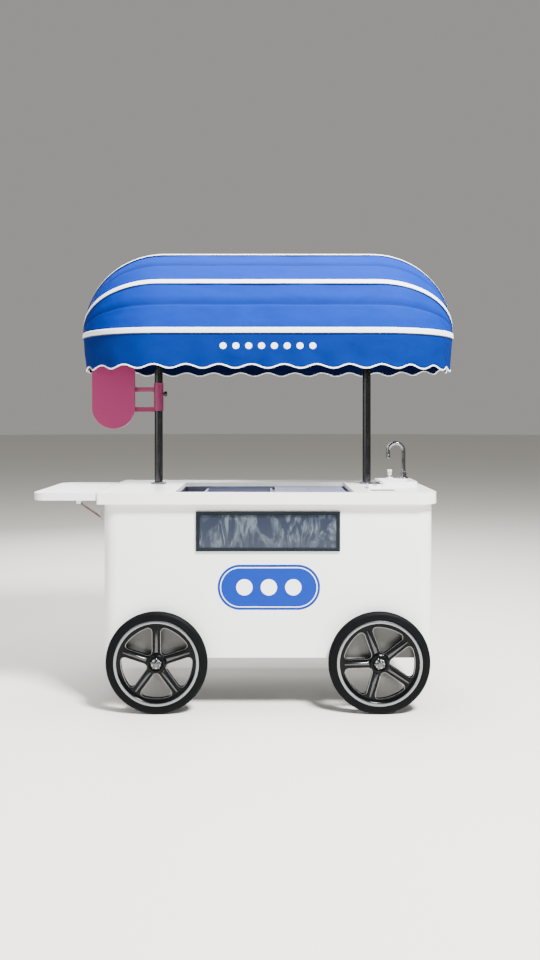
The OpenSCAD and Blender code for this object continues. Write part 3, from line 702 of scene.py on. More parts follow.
def tyre_rubber(name, colour="#060708"):
    """Moulded tyre rubber: dull, dusty in its pores, a little shiny where it wears."""
    material, tree, shader, place = blank_finish(
        name, colour, 0.62, Specular_IOR_Level=0.06
    )
    pores = add(
        tree, "ShaderNodeTexNoise", {"Vector": place, "Scale": 420.0, "Detail": 3.0}
    )
    dust = add(
        tree, "ShaderNodeTexNoise", {"Vector": place, "Scale": 18.0, "Detail": 5.0}
    )
    tone = add(
        tree,
        "ShaderNodeMix",
        {0: dust.outputs[0], 6: shaded(colour, 0.7), 7: shaded(colour, 1.9)},
        data_type="RGBA",
    )
    tree.links.new(tone.outputs[2], shader.inputs["Base Color"])
    gloss = add(
        tree,
        "ShaderNodeMapRange",
        {"Value": dust.outputs[0], "To Min": 0.4, "To Max": 0.75},
    )
    tree.links.new(gloss.outputs[0], shader.inputs["Roughness"])
    bump = add(
        tree,
        "ShaderNodeBump",
        {"Strength": 0.3, "Distance": 0.0003, "Height": pores.outputs[0]},
    )
    tree.links.new(bump.outputs[0], shader.inputs["Normal"])
    return material


def moulded_plastic(name, colour, roughness=0.45):
    """Injection-moulded plastic with a spark-eroded texture of fine pits."""
    material, tree, shader, place = blank_finish(name, colour, roughness, IOR=1.49)
    # Pits are 0.3 mm, drawn at 1.2 mm.
    pits = add(
        tree, "ShaderNodeTexNoise", {"Vector": place, "Scale": 830.0, "Detail": 1.0}
    )
    cast = add(
        tree, "ShaderNodeTexNoise", {"Vector": place, "Scale": 16.0, "Detail": 3.0}
    )
    tone = add(
        tree,
        "ShaderNodeMix",
        {0: cast.outputs[0], 6: shaded(colour, 0.93), 7: shaded(colour, 1.05)},
        data_type="RGBA",
    )
    tree.links.new(tone.outputs[2], shader.inputs["Base Color"])
    gloss = add(
        tree,
        "ShaderNodeMapRange",
        {
            "Value": cast.outputs[0],
            "To Min": roughness - 0.07,
            "To Max": roughness + 0.1,
        },
    )
    tree.links.new(gloss.outputs[0], shader.inputs["Roughness"])
    bump = add(
        tree,
        "ShaderNodeBump",
        {"Strength": 0.12, "Distance": 0.0002, "Height": pits.outputs[0]},
    )
    tree.links.new(bump.outputs[0], shader.inputs["Normal"])
    return material


def filmed_glass(name):
    """Dark glazing under an old film: milky where the film has lifted in streaks."""
    material, tree, shader, place = blank_finish(
        name, "#263142", 0.2, Coat_Weight=0.15, Coat_Roughness=0.05
    )
    # Streaks lean, and are some 40 mm across and 100 mm long.
    leaning = add(
        tree,
        "ShaderNodeMapping",
        {"Vector": place, "Rotation": (0.0, 0.5, 0.0), "Scale": (13.0, 10.0, 5.2)},
    )
    streak = add(
        tree,
        "ShaderNodeTexNoise",
        {
            "Vector": leaning.outputs[0],
            "Scale": 1.0,
            "Detail": 6.0,
            "Roughness": 0.58,
            "Distortion": 2.6,
        },
    )
    patch = add(
        tree, "ShaderNodeTexNoise", {"Vector": place, "Scale": 5.0, "Detail": 2.0}
    )
    lifted = add(
        tree,
        "ShaderNodeMapRange",
        {"Value": streak.outputs[0], "From Min": 0.48, "From Max": 0.66},
    )
    where = add(
        tree,
        "ShaderNodeMapRange",
        {
            "Value": patch.outputs[0],
            "From Min": 0.3,
            "From Max": 0.62,
            "To Min": 0.1,
            "To Max": 0.85,
        },
    )
    milk = add(
        tree,
        "ShaderNodeMath",
        {0: lifted.outputs[0], 1: where.outputs[0]},
        operation="MULTIPLY",
    )
    tone = add(
        tree,
        "ShaderNodeMix",
        {
            0: milk.outputs[0],
            6: (*linear("#172132"), 1.0),
            7: (*linear("#525d67"), 1.0),
        },
        data_type="RGBA",
    )
    tree.links.new(tone.outputs[2], shader.inputs["Base Color"])
    gloss = add(
        tree,
        "ShaderNodeMapRange",
        {"Value": milk.outputs[0], "To Min": 0.1, "To Max": 0.45},
    )
    tree.links.new(gloss.outputs[0], shader.inputs["Roughness"])
    bump = add(
        tree,
        "ShaderNodeBump",
        {"Strength": 0.25, "Distance": 0.0006, "Height": streak.outputs[0]},
    )
    tree.links.new(bump.outputs[0], shader.inputs["Normal"])
    return material


def frosted_lid(name, colour="#989dc4"):
    """Polycarbonate, hazed by cold and wiping: it lets light through but blurs it."""
    material, tree, shader, place = blank_finish(
        name, colour, 0.28, Transmission_Weight=0.55, IOR=1.58
    )
    haze = add(
        tree,
        "ShaderNodeTexNoise",
        {"Vector": place, "Scale": 12.0, "Detail": 6.0, "Distortion": 0.8},
    )
    gloss = add(
        tree,
        "ShaderNodeMapRange",
        {"Value": haze.outputs[0], "To Min": 0.15, "To Max": 0.5},
    )
    tree.links.new(gloss.outputs[0], shader.inputs["Roughness"])
    tone = add(
        tree,
        "ShaderNodeMix",
        {0: haze.outputs[0], 6: shaded(colour, 0.85), 7: shaded(colour, 1.08)},
        data_type="RGBA",
    )
    tree.links.new(tone.outputs[2], shader.inputs["Base Color"])
    return material


def zinc_plate(name, colour="#9da1a6"):
    """Bright zinc plate on pressed steel: dull silver with faint crystals."""
    material, tree, shader, place = blank_finish(name, colour, 0.38, 1.0)
    crystal = add(tree, "ShaderNodeTexVoronoi", {"Vector": place, "Scale": 140.0})
    tone = add(
        tree,
        "ShaderNodeMix",
        {
            0: crystal.outputs["Distance"],
            6: shaded(colour, 1.08),
            7: shaded(colour, 0.8),
        },
        data_type="RGBA",
    )
    tree.links.new(tone.outputs[2], shader.inputs["Base Color"])
    gloss = add(
        tree,
        "ShaderNodeMapRange",
        {"Value": crystal.outputs["Distance"], "To Min": 0.3, "To Max": 0.52},
    )
    tree.links.new(gloss.outputs[0], shader.inputs["Roughness"])
    return material


def closed_cell_foam(name, colour="#d9cfa2"):
    """Sprayed polyurethane foam: matt, with an open skin of small bubbles."""
    material, tree, shader, place = blank_finish(name, colour, 0.85)
    bubbles = add(tree, "ShaderNodeTexVoronoi", {"Vector": place, "Scale": 260.0})
    bump = add(
        tree,
        "ShaderNodeBump",
        {"Strength": 0.5, "Distance": 0.001, "Height": bubbles.outputs["Distance"]},
    )
    tree.links.new(bump.outputs[0], shader.inputs["Normal"])
    return material


def cut_vinyl(name, colour):
    """Cast vinyl film, cut and pressed on: an even satin that shows the skin below."""
    material, tree, shader, place = blank_finish(
        name, colour, 0.34, Specular_IOR_Level=0.15
    )
    press = add(
        tree, "ShaderNodeTexNoise", {"Vector": place, "Scale": 55.0, "Detail": 3.0}
    )
    gloss = add(
        tree,
        "ShaderNodeMapRange",
        {"Value": press.outputs[0], "To Min": 0.26, "To Max": 0.44},
    )
    tree.links.new(gloss.outputs[0], shader.inputs["Roughness"])
    bump = add(
        tree,
        "ShaderNodeBump",
        {"Strength": 0.1, "Distance": 0.0002, "Height": press.outputs[0]},
    )
    tree.links.new(bump.outputs[0], shader.inputs["Normal"])
    return material


# ---------------------------------------------------------------- shapes


def piece(name, bm, body, finishes, replaces=(), sharp=35.0):
    """Makes one piece of the cart from its mesh, with its finishes, on its CAD body."""
    mesh = bpy.data.meshes.new(name)
    bm.to_mesh(mesh)
    bm.free()
    made = bpy.data.objects.new(name, mesh)
    bpy.context.scene.collection.objects.link(made)
    for finish in finishes:
        mesh.materials.append(finish)
    mesh.shade_smooth()
    mesh.set_sharp_from_angle(angle=math.radians(sharp))
    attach(made, body)
    if replaces:
        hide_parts(*replaces)
    return made


def eased(made, width, segments=2, angle=32.0):
    """Eases the piece's edges, so that they catch the light."""
    bevel = made.modifiers.new("Eased edges", "BEVEL")
    bevel.width = width
    bevel.segments = segments
    bevel.limit_method = "ANGLE"
    bevel.angle_limit = math.radians(angle)
    bevel.harden_normals = True
    return made


def thickened(made, thickness, lining=0):
    """Gives a sheet its thickness, inwards, with its lining's finish behind."""
    wall = made.modifiers.new("Thickness", "SOLIDIFY")
    wall.thickness = thickness
    wall.offset = -1
    wall.material_offset = lining
    return made


def node_shape(node):
    """A CAD node's shape with its triangles joined into whole faces."""
    bm = bmesh.new()
    bm.from_mesh(frame["nodes"][node].data)
    bmesh.ops.remove_doubles(bm, verts=bm.verts, dist=1e-5)
    bmesh.ops.dissolve_limit(
        bm,
        angle_limit=math.radians(0.6),
        use_dissolve_boundaries=False,
        verts=bm.verts,
        edges=bm.edges,
    )
    return bm


def finished_node(node, finish, ease=0.001, segments=2, sharp=35.0):
    """A CAD node's shape made again, with eased edges and its real finish."""
    made = piece(
        "finished_" + node,
        node_shape(node),
        frame["nodes"][node]["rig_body"],
        [finish],
        [node],
        sharp,
    )
    if ease:
        eased(made, ease, segments)
    return made


def repaint(finish, *nodes):
    """Gives CAD nodes whose shape is right their real finish."""
    for node in nodes:
        mesh = frame["nodes"][node].data
        mesh.materials.clear()
        mesh.materials.append(finish)


def joined(*shapes):
    """Several meshes as one, each face keeping its finish."""
    whole = bmesh.new()
    for shape in shapes:
        part = bpy.data.meshes.new("part")
        shape.to_mesh(part)
        shape.free()
        whole.from_mesh(part)
        bpy.data.meshes.remove(part)
    return whole


def sheet_grid(columns, rows, place, stretch=(1.0, 1.0), face_from=None):
    """A sheet that place() puts in space from two runs of 0 to 1, mapped in metres."""
    bm = bmesh.new()
    bmesh.ops.create_grid(bm, x_segments=columns, y_segments=rows, size=0.5)
    cloth = bm.loops.layers.uv.new("run")
    for face in bm.faces:
        for loop in face.loops:
            x, y, _ = loop.vert.co
            loop[cloth].uv = ((x + 0.5) * stretch[0], (y + 0.5) * stretch[1])
    for vert in bm.verts:
        vert.co = place(vert.co.x + 0.5, vert.co.y + 0.5)
    bmesh.ops.remove_doubles(bm, verts=bm.verts, dist=1e-5)
    bm.normal_update()
    if face_from is not None:
        outward = sum(
            face.normal.dot(face.calc_center_median() - face_from)
            for face in bm.faces
        )
        if outward < 0:
            bmesh.ops.reverse_faces(bm, faces=bm.faces)
    return bm


def tube_along(path, radius, sides=10, up=Vector((0, 0, 1)), closed=False):
    """A round tube along a smooth path."""
    count = len(path)
    frames = []
    for i, point in enumerate(path):
        if closed:
            ahead = path[(i + 1) % count] - path[i - 1]
        else:
            ahead = path[min(i + 1, count - 1)] - path[max(i - 1, 0)]
        side = up.cross(ahead).normalized()
        frames.append((point, side, ahead.normalized().cross(side)))
    if closed:
        frames.append(frames[0])

    def place(u, v):
        point, side, lift = frames[round(u * (len(frames) - 1))]
        turn = 2 * math.pi * v
        return point + radius * (math.cos(turn) * side + math.sin(turn) * lift)

    bm = sheet_grid(len(frames) - 1, sides, place, (1.0, 2 * math.pi * radius))
    if not closed:
        ends = [edge for edge in bm.edges if edge.is_boundary]
        bmesh.ops.holes_fill(bm, edges=ends, sides=0)
    bmesh.ops.recalc_face_normals(bm, faces=bm.faces)
    return bm


def turned_shape(profile, centre, axis, steps=64, closed=False):
    """A shape turned about an axis from the (radius, along) corners of its outline."""
    axis = Vector(axis)
    across = Vector((0, 0, 1)) if abs(axis.z) < 0.5 else Vector((1, 0, 0))
    bm = bmesh.new()
    corners = [bm.verts.new(centre + across * r + axis * a) for r, a in profile]
    edges = [bm.edges.new(pair) for pair in zip(corners, corners[1:])]
    if closed:
        edges.append(bm.edges.new((corners[-1], corners[0])))
    bmesh.ops.spin(
        bm,
        geom=corners + edges,
        cent=centre,
        axis=axis,
        angle=2 * math.pi,
        steps=steps,
        use_merge=True,
    )
    bmesh.ops.remove_doubles(bm, verts=bm.verts, dist=1e-6)
    bmesh.ops.recalc_face_normals(bm, faces=bm.faces)
    return bm


def lobed(bm, centre, start, count, depth, beyond):
    """Swells and pinches a shape turned about Y into lobes, outside one radius."""
    for vert in bm.verts:
        x, z = vert.co.x - centre.x, vert.co.z - centre.z
        reach = math.hypot(x, z)
        if reach > beyond:
            share = min((reach - beyond) / beyond, 1.0)
            swell = 1 + depth * share * math.cos(
                count * (math.atan2(z, x) - math.radians(start))
            )
            vert.co.x = centre.x + x * swell
            vert.co.z = centre.z + z * swell


# ---------------------------------------------------------------- hood


def hood_point(angle, along, inset=0.0):
    """A point of the hood, and how far it is from the line of the bows' pivots.

    The angle is from upright, and along runs from 0 at the left pivot to 1 at the
    right.
    """
    radius = HOOD_R - inset
    run = along * BOW_RUN
    if run < QUARTER:
        turn = run / HOOD_R
        x, reach = -HOOD_HALF - radius * math.cos(turn), radius * math.sin(turn)
    elif run > BOW_RUN - QUARTER:
        turn = (BOW_RUN - run) / HOOD_R
        x, reach = HOOD_HALF + radius * math.cos(turn), radius * math.sin(turn)
    else:
        x, reach = run - QUARTER - HOOD_HALF, radius
    return (
        Vector(
            (
                HOOD_X + x,
                HOOD_Y + reach * math.sin(angle),
                RING_Z + reach * math.cos(angle),
            )
        ),
        reach,
    )


def cloth_slack(angle, along, depth):
    """How far the cloth sinks between the bows, with its step at each seam."""
    degrees = math.degrees(angle)
    _, reach = hood_point(angle, along)
    near_pivot = min(reach / HOOD_R * 1.25, 1.0) ** 1.5
    sag = 0.0
    for low, high in zip(BOWS, BOWS[1:]):
        if low <= degrees <= high:
            seam = (low + high) / 2
            sag = depth * math.sin(math.pi * (degrees - low) / (high - low))
            if abs(seam) > 10:
                above = abs(seam) - abs(degrees)
                if above > 0:
                    sag += 0.0035 * math.exp(-above / 4.0)
                else:
                    sag -= 0.0022 * math.exp(above / 5.0)
    spot = Vector((along * 9.0, degrees / 14.0, 2.0))
    sag += 0.003 * noise.noise(spot) + 0.0018 * noise.noise(spot * 2.7)
    return 0.0014 + sag * near_pivot


def rim_point(turn, height, out=0.0):
    """A point round the ring, from the middle of the front towards the right."""
    run = (turn % 1.0) * RING_RUN
    arc = 2 * QUARTER
    radius = HOOD_R + out
    if run <= HOOD_HALF:
        x, y = run, -radius
    elif run <= HOOD_HALF + arc:
        angle = (run - HOOD_HALF) / HOOD_R - math.pi / 2
        x, y = HOOD_HALF + radius * math.cos(angle), radius * math.sin(angle)
    elif run <= 3 * HOOD_HALF + arc:
        x, y = 2 * HOOD_HALF + arc - run, radius
    elif run <= 3 * HOOD_HALF + 2 * arc:
        angle = (run - 3 * HOOD_HALF - arc) / HOOD_R + math.pi / 2
        x, y = -HOOD_HALF + radius * math.cos(angle), radius * math.sin(angle)
    else:
        x, y = run - 4 * HOOD_HALF - 2 * arc, -radius
    return Vector((HOOD_X + x, HOOD_Y + y, height))


def hem_point(turn, drop, sizes):
    """A point of the valance: drop runs from 0 at the ring to 1 at its waved hem."""
    wave = 2 * math.pi * sizes.hem_waves * turn
    hem = HEM_Z + sizes.hem_depth / 2
    height = RING_Z - 0.001 + (hem - RING_Z) * drop
    height -= sizes.hem_depth / 2 * math.cos(wave) * drop**7
    flat = rim_point(turn, height)
    lean = Vector((flat.x + height * 0.9, flat.y - height * 0.9, height))
    soft = noise.noise(lean * 3.4)
    fine = noise.noise(lean * 8.5 + Vector((0, 0, 7)))
    out = (
        -0.0015
        - 0.012 * drop**2
        + drop * (0.009 * soft + 0.005 * fine)
        + 0.0035 * drop**2 * math.sin(wave + 0.6)
    )
    return rim_point(turn, height, out)


class CART_OT_hood(bpy.types.Operator):
    """Stretches the blue canvas over the bows as one curved sheet"""

    bl_idname = "cart.hood"
    bl_label = "Hood"

    def execute(self, context):
        sizes, colours = context.scene.cart_sizes, context.scene.cart_colours
        girth = math.pi * HOOD_R
        inside = Vector((HOOD_X, HOOD_Y, RING_Z))

        def place(u, v):
            angle = math.pi * (v - 0.5)
            return hood_point(angle, u, cloth_slack(angle, u, sizes.cloth_slack))[0]

        # The cloth is sewn from gores, so a seam runs along each side panel's middle,
        # with painted shade on one side.
        seams = []
        for angle in (-73.5, -39.5, 39.5, 73.5):
            seams.append(((angle + 90) / 180 * girth, 1 if angle < 0 else -1))
        cloth = piece(
            "hood_cloth",
            sheet_grid(120, 180, place, (BOW_RUN, girth), inside),
            "cart",
            [
                canvas("coated canvas, blue", colours.hood, seams),
                canvas("coated canvas, lining", colours.lining),
            ],
            ["canopy_cover"],
            60.0,
        )
        thickened(cloth, 0.001, 1)
        bands = []
        for angle in BOWS[1:-1]:
            bands.append(self.band(math.radians(angle), sizes, inside))
        tape = webbing("polyester webbing, white")
        # The dark blue strip along the lower edge of each band is painted shadow.
        band_shadow = webbing("painted shadow under webbing, dark blue", "#020a2c")
        whole = joined(*bands)
        strips = piece(
            "bow_webbing", whole, "cart", [tape, band_shadow], (), 50
        )
        thickened(strips, 0.0012)
        # The cut is as long as a bow and as wide as the run over the bows, and it
        # narrows towards its two round ends.
        return {"FINISHED"}

    def band(self, angle, sizes, inside):
        """One strip of webbing along a bow, with a strip of painted shadow at its lower
        edge.
        """
        start = 0.035 / BOW_RUN
        half = sizes.band_width / 2 + PAINTED_SHADOW_EXTRA

        def place(u, v):
            along = start + u * (1 - 2 * start)
            _, reach = hood_point(angle, along)
            width = (v - 0.5) * 2 * half / max(reach, 0.03)
            lift = 0.0006 + 0.0022 * (1 - (2 * v - 1) ** 4)
            return hood_point(angle + width, along, -lift)[0]

        bm = sheet_grid(100, 12, place, (BOW_RUN, 2 * half), inside)
        run = bm.loops.layers.uv["run"]
        for face in bm.faces:
            across = sum(loop[run].uv.y for loop in face.loops) / len(face.loops)
            lower = across if angle < 0 else 2 * half - across
            face.material_index = 1 if lower < PAINTED_SHADOW_RUN else 0
        return bm


class CART_OT_valance(bpy.types.Operator):
    """Hangs the valance from the ring, with its waved hem and white piping"""

    bl_idname = "cart.valance"
    bl_label = "Valance"

    def execute(self, context):
        sizes, colours = context.scene.cart_sizes, context.scene.cart_colours
        columns = sizes.hem_waves * 12
        drop = RING_Z - HEM_Z
        inside = Vector((HOOD_X, HOOD_Y, RING_Z - drop / 2))
        skirt = piece(
            "valance_cloth",
            sheet_grid(
                columns,
                16,
                lambda u, v: hem_point(u, 1 - v, sizes),
                (RING_RUN, drop),
                inside,
            ),
            "cart",
            [
                # Eight dots, 60 mm apart, a little over the middle of the drop.
                printed_canvas(
                    "coated canvas, dark blue", colours.valance, drop * 0.56, 0.06, 8
                ),
                canvas("coated canvas, valance lining", colours.lining),
            ],
            ["canopy_valance"],
            60.0,
        )
        thickened(skirt, 0.001, 1)
        tape = bpy.data.materials["polyester webbing, white"]
        band_shadow = bpy.data.materials["painted shadow under webbing, dark blue"]
        half = sizes.band_width / 2 + PAINTED_SHADOW_EXTRA

        def over_ring(u, v):
            lift = 0.0012 + 0.0024 * (1 - (2 * v - 1) ** 4)
            return rim_point(u, RING_Z - 0.004 + (v - 0.5) * 2 * half, lift)

        band = sheet_grid(200, 12, over_ring, (RING_RUN, 2 * half), inside)
        run = band.loops.layers.uv["run"]
        for face in band.faces:
            across = sum(loop[run].uv.y for loop in face.loops) / len(face.loops)
            # The lowest strip of the ring's band is painted shadow.
            face.material_index = 1 if across < PAINTED_SHADOW_RUN else 0
        ring_band = piece(
            "ring_webbing", band, "cart", [tape, band_shadow], (), 50
        )
        thickened(ring_band, 0.0012)
        path = [hem_point(i / columns, 1.0, sizes) for i in range(columns)]
        piping = piece(
            "hem_piping",
            tube_along(path, 0.0034, 8, closed=True),
            "cart",
            [tape],
        )
        return {"FINISHED"}


class CART_OT_posts(bpy.types.Operator):
    """Makes the hood's posts, their flanges and the frame of tubes"""

    bl_idname = "cart.posts"
    bl_label = "Posts"

    def execute(self, context):
        finished_node(
            "canopy_posts",
            brushed_steel("stainless tube, polished along", "#47484a", 0.2, 2),
            0,
        )
        finished_node(
            "post_flanges",
            brushed_steel("stainless flange, turned", "#7d8084", 0.26, 0),
            0.0012,
        )
        repaint(
            brushed_steel("aluminium tube, mill finish", "#b4b7bb", 0.36, 0),
            "canopy_frame",
        )
        finished_node(
            "fasteners", zinc_plate("button screws, zinc plate"), 0.0012
        )
        return {"FINISHED"}


# ---------------------------------------------------------------- wheels


def window_outline(spoke_width):
    """The outline of a wheel's window, with its tip at the hub and rounded corners."""
    half = spoke_width / 2
    rim = 0.1655
    corner = math.radians(36) - math.asin(half / rim)
    tip = half / math.sin(math.radians(36))
    bm = bmesh.new()
    spots = [
        (0.0, tip, 0.026),
        (rim * math.sin(corner), rim * math.cos(corner), 0.026),
        (0.0, rim, 0.045),
        (-rim * math.sin(corner), rim * math.cos(corner), 0.026),
    ]
    corners = [(bm.verts.new((x, y, 0.0)), soft) for x, y, soft in spots]
    bm.faces.new([vert for vert, _ in corners])
    for vert, soft in corners:
        bmesh.ops.bevel(
            bm,
            geom=[vert],
            offset=soft,
            offset_type="OFFSET",
            segments=6,
            profile=0.5,
            affect="VERTICES",
            material=-1,
        )
    bm.faces.ensure_lookup_table()
    outline = [loop.vert.co.copy() for loop in bm.faces[0].loops]
    bm.free()
    return outline


def wheel_star(first, spoke_width, depth):
    """The cast plate: five windows between five spokes, with bright machined edges."""
    plate, hub = 0.1668, 0.034
    bm = bmesh.new()
    bmesh.ops.create_circle(bm, segments=100, radius=plate)
    bmesh.ops.create_circle(bm, segments=40, radius=hub)
    outline = window_outline(spoke_width)
    for i in range(5):
        turn = Matrix.Rotation(math.radians(first + 36 + 72 * i - 90), 3, "Z")
        loop = [bm.verts.new(turn @ corner) for corner in outline]
        for a, b in zip(loop, loop[1:] + loop[:1]):
            bm.edges.new((a, b))
    bmesh.ops.triangle_fill(bm, use_beauty=True, edges=bm.edges[:], normal=(0, 0, 1))
    grown = bmesh.ops.extrude_face_region(bm, geom=bm.faces[:])
    back = [v for v in grown["geom"] if isinstance(v, bmesh.types.BMVert)]
    bmesh.ops.translate(bm, verts=back, vec=(0, 0, -depth))
    bmesh.ops.recalc_face_normals(bm, faces=bm.faces)
    rims = []
    for edge in bm.edges:
        ends = [v.co for v in edge.verts]
        inner = all(hub + 0.002 < c.length < plate - 0.0004 for c in ends)
        if inner and all(abs(c.z) < 1e-6 for c in ends):
            if any(abs(face.normal.z) < 0.5 for face in edge.link_faces):
                rims.append(edge)
    cut = bmesh.ops.bevel(
        bm,
        geom=rims,
        offset=0.0026,
        offset_type="OFFSET",
        segments=2,
        profile=0.5,
        affect="EDGES",
        material=-1,
    )
    for face in cut["faces"]:
        face.material_index = 1
    return bm


class CART_OT_wheels(bpy.types.Operator):
    """Builds both five-spoke wheels: cast rim, machined lip, tyre and lobed hub cap"""

    bl_idname = "cart.wheels"
    bl_label = "Spoked wheels"

    def execute(self, context):
        sizes = context.scene.cart_sizes
        black = gloss_enamel("cast aluminium, gloss black", "#060708")
        rubber = tyre_rubber("tyre rubber, moulded")
        satin = brushed_steel("spoke ribs, smoked chrome", "#4b4c4e", 0.16, 1)
        chrome = chrome_plate("hub cap, chrome plate", "#5c5e61")
        for side, first in (("left", 90), ("right", 110)):
            centre = middle(side + "_rim")
            lip = side + " rim lip, turned aluminium"
            bright = turned_alloy(lip, "#84868a", centre)
            self.rim(side, first, centre, [black, bright, satin], sizes)
            self.tyre(side, centre, rubber)
            self.cap(side, first, centre, chrome, black)
        finished_node(
            "wheel_axles", zinc_plate("axle, bright steel", "#8f9296"), 0
        )
        repaint(
            zinc_plate("bearing rings, ground steel", "#a5a8ac"), "wheel_bearings"
        )
        # The grey plate behind each wheel stands in for the shade on the body there:
        # its grey is painted shade.
        finished_node(
            "splash_plates",
            powder_coat("plate behind wheel, painted shade grey", "#484946"),
            0.0005,
            1,
        )
        return {"FINISHED"}

    def rim(self, side, first, centre, finishes, sizes):
        hoop = turned_shape(
            [
                (0.1932, -0.0190),
                (0.1930, -0.0218),
                (0.1905, -0.0232),
                (0.1860, -0.0236),
                (0.1815, -0.0226),
                (0.1802, -0.0205),
                (0.1798, -0.0180),
                (0.1770, -0.0150),
                (0.1700, -0.0122),
                (0.1660, -0.0112),
                (0.1640, -0.0095),
                (0.1655, 0.0150),
                (0.1700, 0.0190),
                (0.1800, 0.0210),
                (0.1925, 0.0215),
                (0.1932, 0.0190),
                (0.1880, 0.0150),
                (0.1760, 0.0060),
                (0.1760, -0.0060),
                (0.1880, -0.0150),
            ],
            centre,
            (0, 1, 0),
            120,
            True,
        )
        for face in hoop.faces:
            spot = face.calc_center_median() - centre
            reach = math.hypot(spot.x, spot.z)
            if reach > 0.1797 and spot.y < -0.0185:
                face.material_index = 1
        star = wheel_star(first, sizes.spoke_width, 0.02)
        # The plate is drawn flat, and stood up to face the front.
        star.transform(
            Matrix.Translation(centre + Vector((0, -0.0118, 0)))
            @ Matrix.Rotation(math.radians(90), 4, "X")
        )
        hub = turned_shape(
            [
                (0.0215, -0.0235),
                (0.0300, -0.0235),
                (0.0312, -0.0262),
                (0.0335, -0.0278),
                (0.0385, -0.0275),
                (0.0420, -0.0250),
                (0.0435, -0.0200),
                (0.0440, -0.0110),
                (0.0430, 0.0200),
                (0.0400, 0.0270),
                (0.0360, 0.0280),
                (0.0215, 0.0280),
            ],
            centre,
            (0, 1, 0),
            80,
            True,
        )
        lobed(hub, centre, first, 5, 0.07, 0.033)
        ribs = []
        for i in range(5):
            ribs.append(self.rib(centre, first + 72 * i))
        piece(
            side + "_cast_wheel",
            joined(hoop, star, hub, *ribs),
            side + "_wheel",
            finishes,
            [side + "_rim"],
            30.0,
        )

    def rib(self, centre, angle):
        """A raised rib along the middle of a spoke, with a bright top."""
        bm = bmesh.new()
        bmesh.ops.create_cube(bm, size=1.0)
        for vert in bm.verts:
            out = vert.co.z + 0.5
            ridge = 1.0 if vert.co.y > 0 else 0.55
            vert.co = Vector(
                (
                    vert.co.x * (0.021 - 0.008 * out) * ridge,
                    -0.0145 + vert.co.y * 0.0055 + 0.0012 * out,
                    0.047 + out * 0.112,
                )
            )
        bmesh.ops.recalc_face_normals(bm, faces=bm.faces)
        for face in bm.faces:
            face.material_index = 2
        bmesh.ops.bevel(
            bm,
            geom=bm.edges[:],
            offset=0.0022,
            offset_type="OFFSET",
            segments=2,
            profile=0.5,
            affect="EDGES",
            material=-1,
        )
        bm.transform(
            Matrix.Translation(centre)
            @ Matrix.Rotation(math.radians(90 - angle), 4, "Y")
        )
        return bm

    def tyre(self, side, centre, rubber):
        half = [
            (0.1920, 0.0188),
            (0.1936, 0.0205),
            (0.1975, 0.0216),
            (0.2000, 0.0217),
            (0.2006, 0.0222),
            (0.2030, 0.0222),
            (0.2036, 0.0218),
            (0.2120, 0.0219),
            (0.2190, 0.0206),
            (0.2245, 0.0180),
            (0.2280, 0.0146),
            (0.2299, 0.0110),
            (0.2285, 0.0102),
            (0.2285, 0.0086),
            (0.2309, 0.0078),
            (0.2316, 0.0040),
            (0.2298, 0.0034),
            (0.2298, 0.0018),
            (0.2320, 0.0010),
        ]
        outline = [(r, -y) for r, y in half] + [(r, y) for r, y in reversed(half)]
        piece(
            side + "_tread_tyre",
            turned_shape(outline, centre, (0, 1, 0), 128, True),
            side + "_wheel",
            [rubber],
            [side + "_tyre"],
            40.0,
        )

    def cap(self, side, first, centre, chrome, black):
        cap = turned_shape(
            [
                (0.0, -0.0352),
                (0.0060, -0.0350),
                (0.0110, -0.0340),
                (0.0150, -0.0322),
                (0.0185, -0.0300),
                (0.0215, -0.0268),
                (0.0232, -0.0230),
                (0.0236, -0.0205),
                (0.0, -0.0205),
            ],
            centre,
            (0, 1, 0),
            80,
        )
        lobed(cap, centre, first, 5, 0.3, 0.008)
        ring = turned_shape(
            [
                (0.0268, -0.0232),
                (0.0272, -0.0252),
                (0.0290, -0.0256),
                (0.0300, -0.0244),
                (0.0300, -0.0225),
                (0.0268, -0.0225),
            ],
            centre,
            (0, 1, 0),
            64,
            True,
        )
        for face in ring.faces:
            face.material_index = 1
        piece(
            side + "_lobed_cap",
            joined(cap, ring),
            side + "_wheel",
            [chrome, black],
            [side + "_hub_cap"],
            50.0,
        )


class CART_OT_casters(bpy.types.Operator):
    """Finishes the two braked casters under the rear"""

    bl_idname = "cart.casters"
    bl_label = "Casters"

    def execute(self, context):
        zinc = zinc_plate("pressed steel, zinc plate")
        core = moulded_plastic("caster wheel, nylon", "#6d7174", 0.4)
        tread = tyre_rubber("caster tread, grey rubber", "#26282b")
        pedal = moulded_plastic("brake pedal, red nylon", "#a5281f", 0.35)
        finished_node("caster_plates", zinc, 0.0012)
        for side in ("left", "right"):
            finished_node(side + "_caster_fork", zinc, 0.001)
            finished_node(side + "_caster_axle", zinc, 0.0012)
            finished_node(side + "_caster_wheel", core, 0.0015)
            finished_node(side + "_caster_tread", tread, 0.0012)
            finished_node(side + "_brake_pedal", pedal, 0.0015)
        return {"FINISHED"}


# ---------------------------------------------------------------- body and worktop


class CART_OT_body(bpy.types.Operator):
    """Finishes the chassis and the powder-coated panels"""

    bl_idname = "cart.body"
    bl_label = "Body"

    def execute(self, context):
        panel = context.scene.cart_colours.panel
        white = powder_coat("sheet steel, white powder coat", panel)
        finished_node("body_shell", white, 0.0006, 2)
        finished_node(
            "rear_panel",
            moulded_plastic("rear panel, white laminate", panel, 0.35),
            0.0015,
        )
        finished_node(
            "chassis_frame",
            powder_coat("chassis, grey powder coat", "#4a4c4f", 0.45),
            0.0012,
        )
        repaint(
            brushed_steel("floor sheet, galvanised", "#a6a9ad", 0.4, 0), "floor_panel"
        )
        repaint(closed_cell_foam("foam, sprayed"), "insulation")
        return {"FINISHED"}


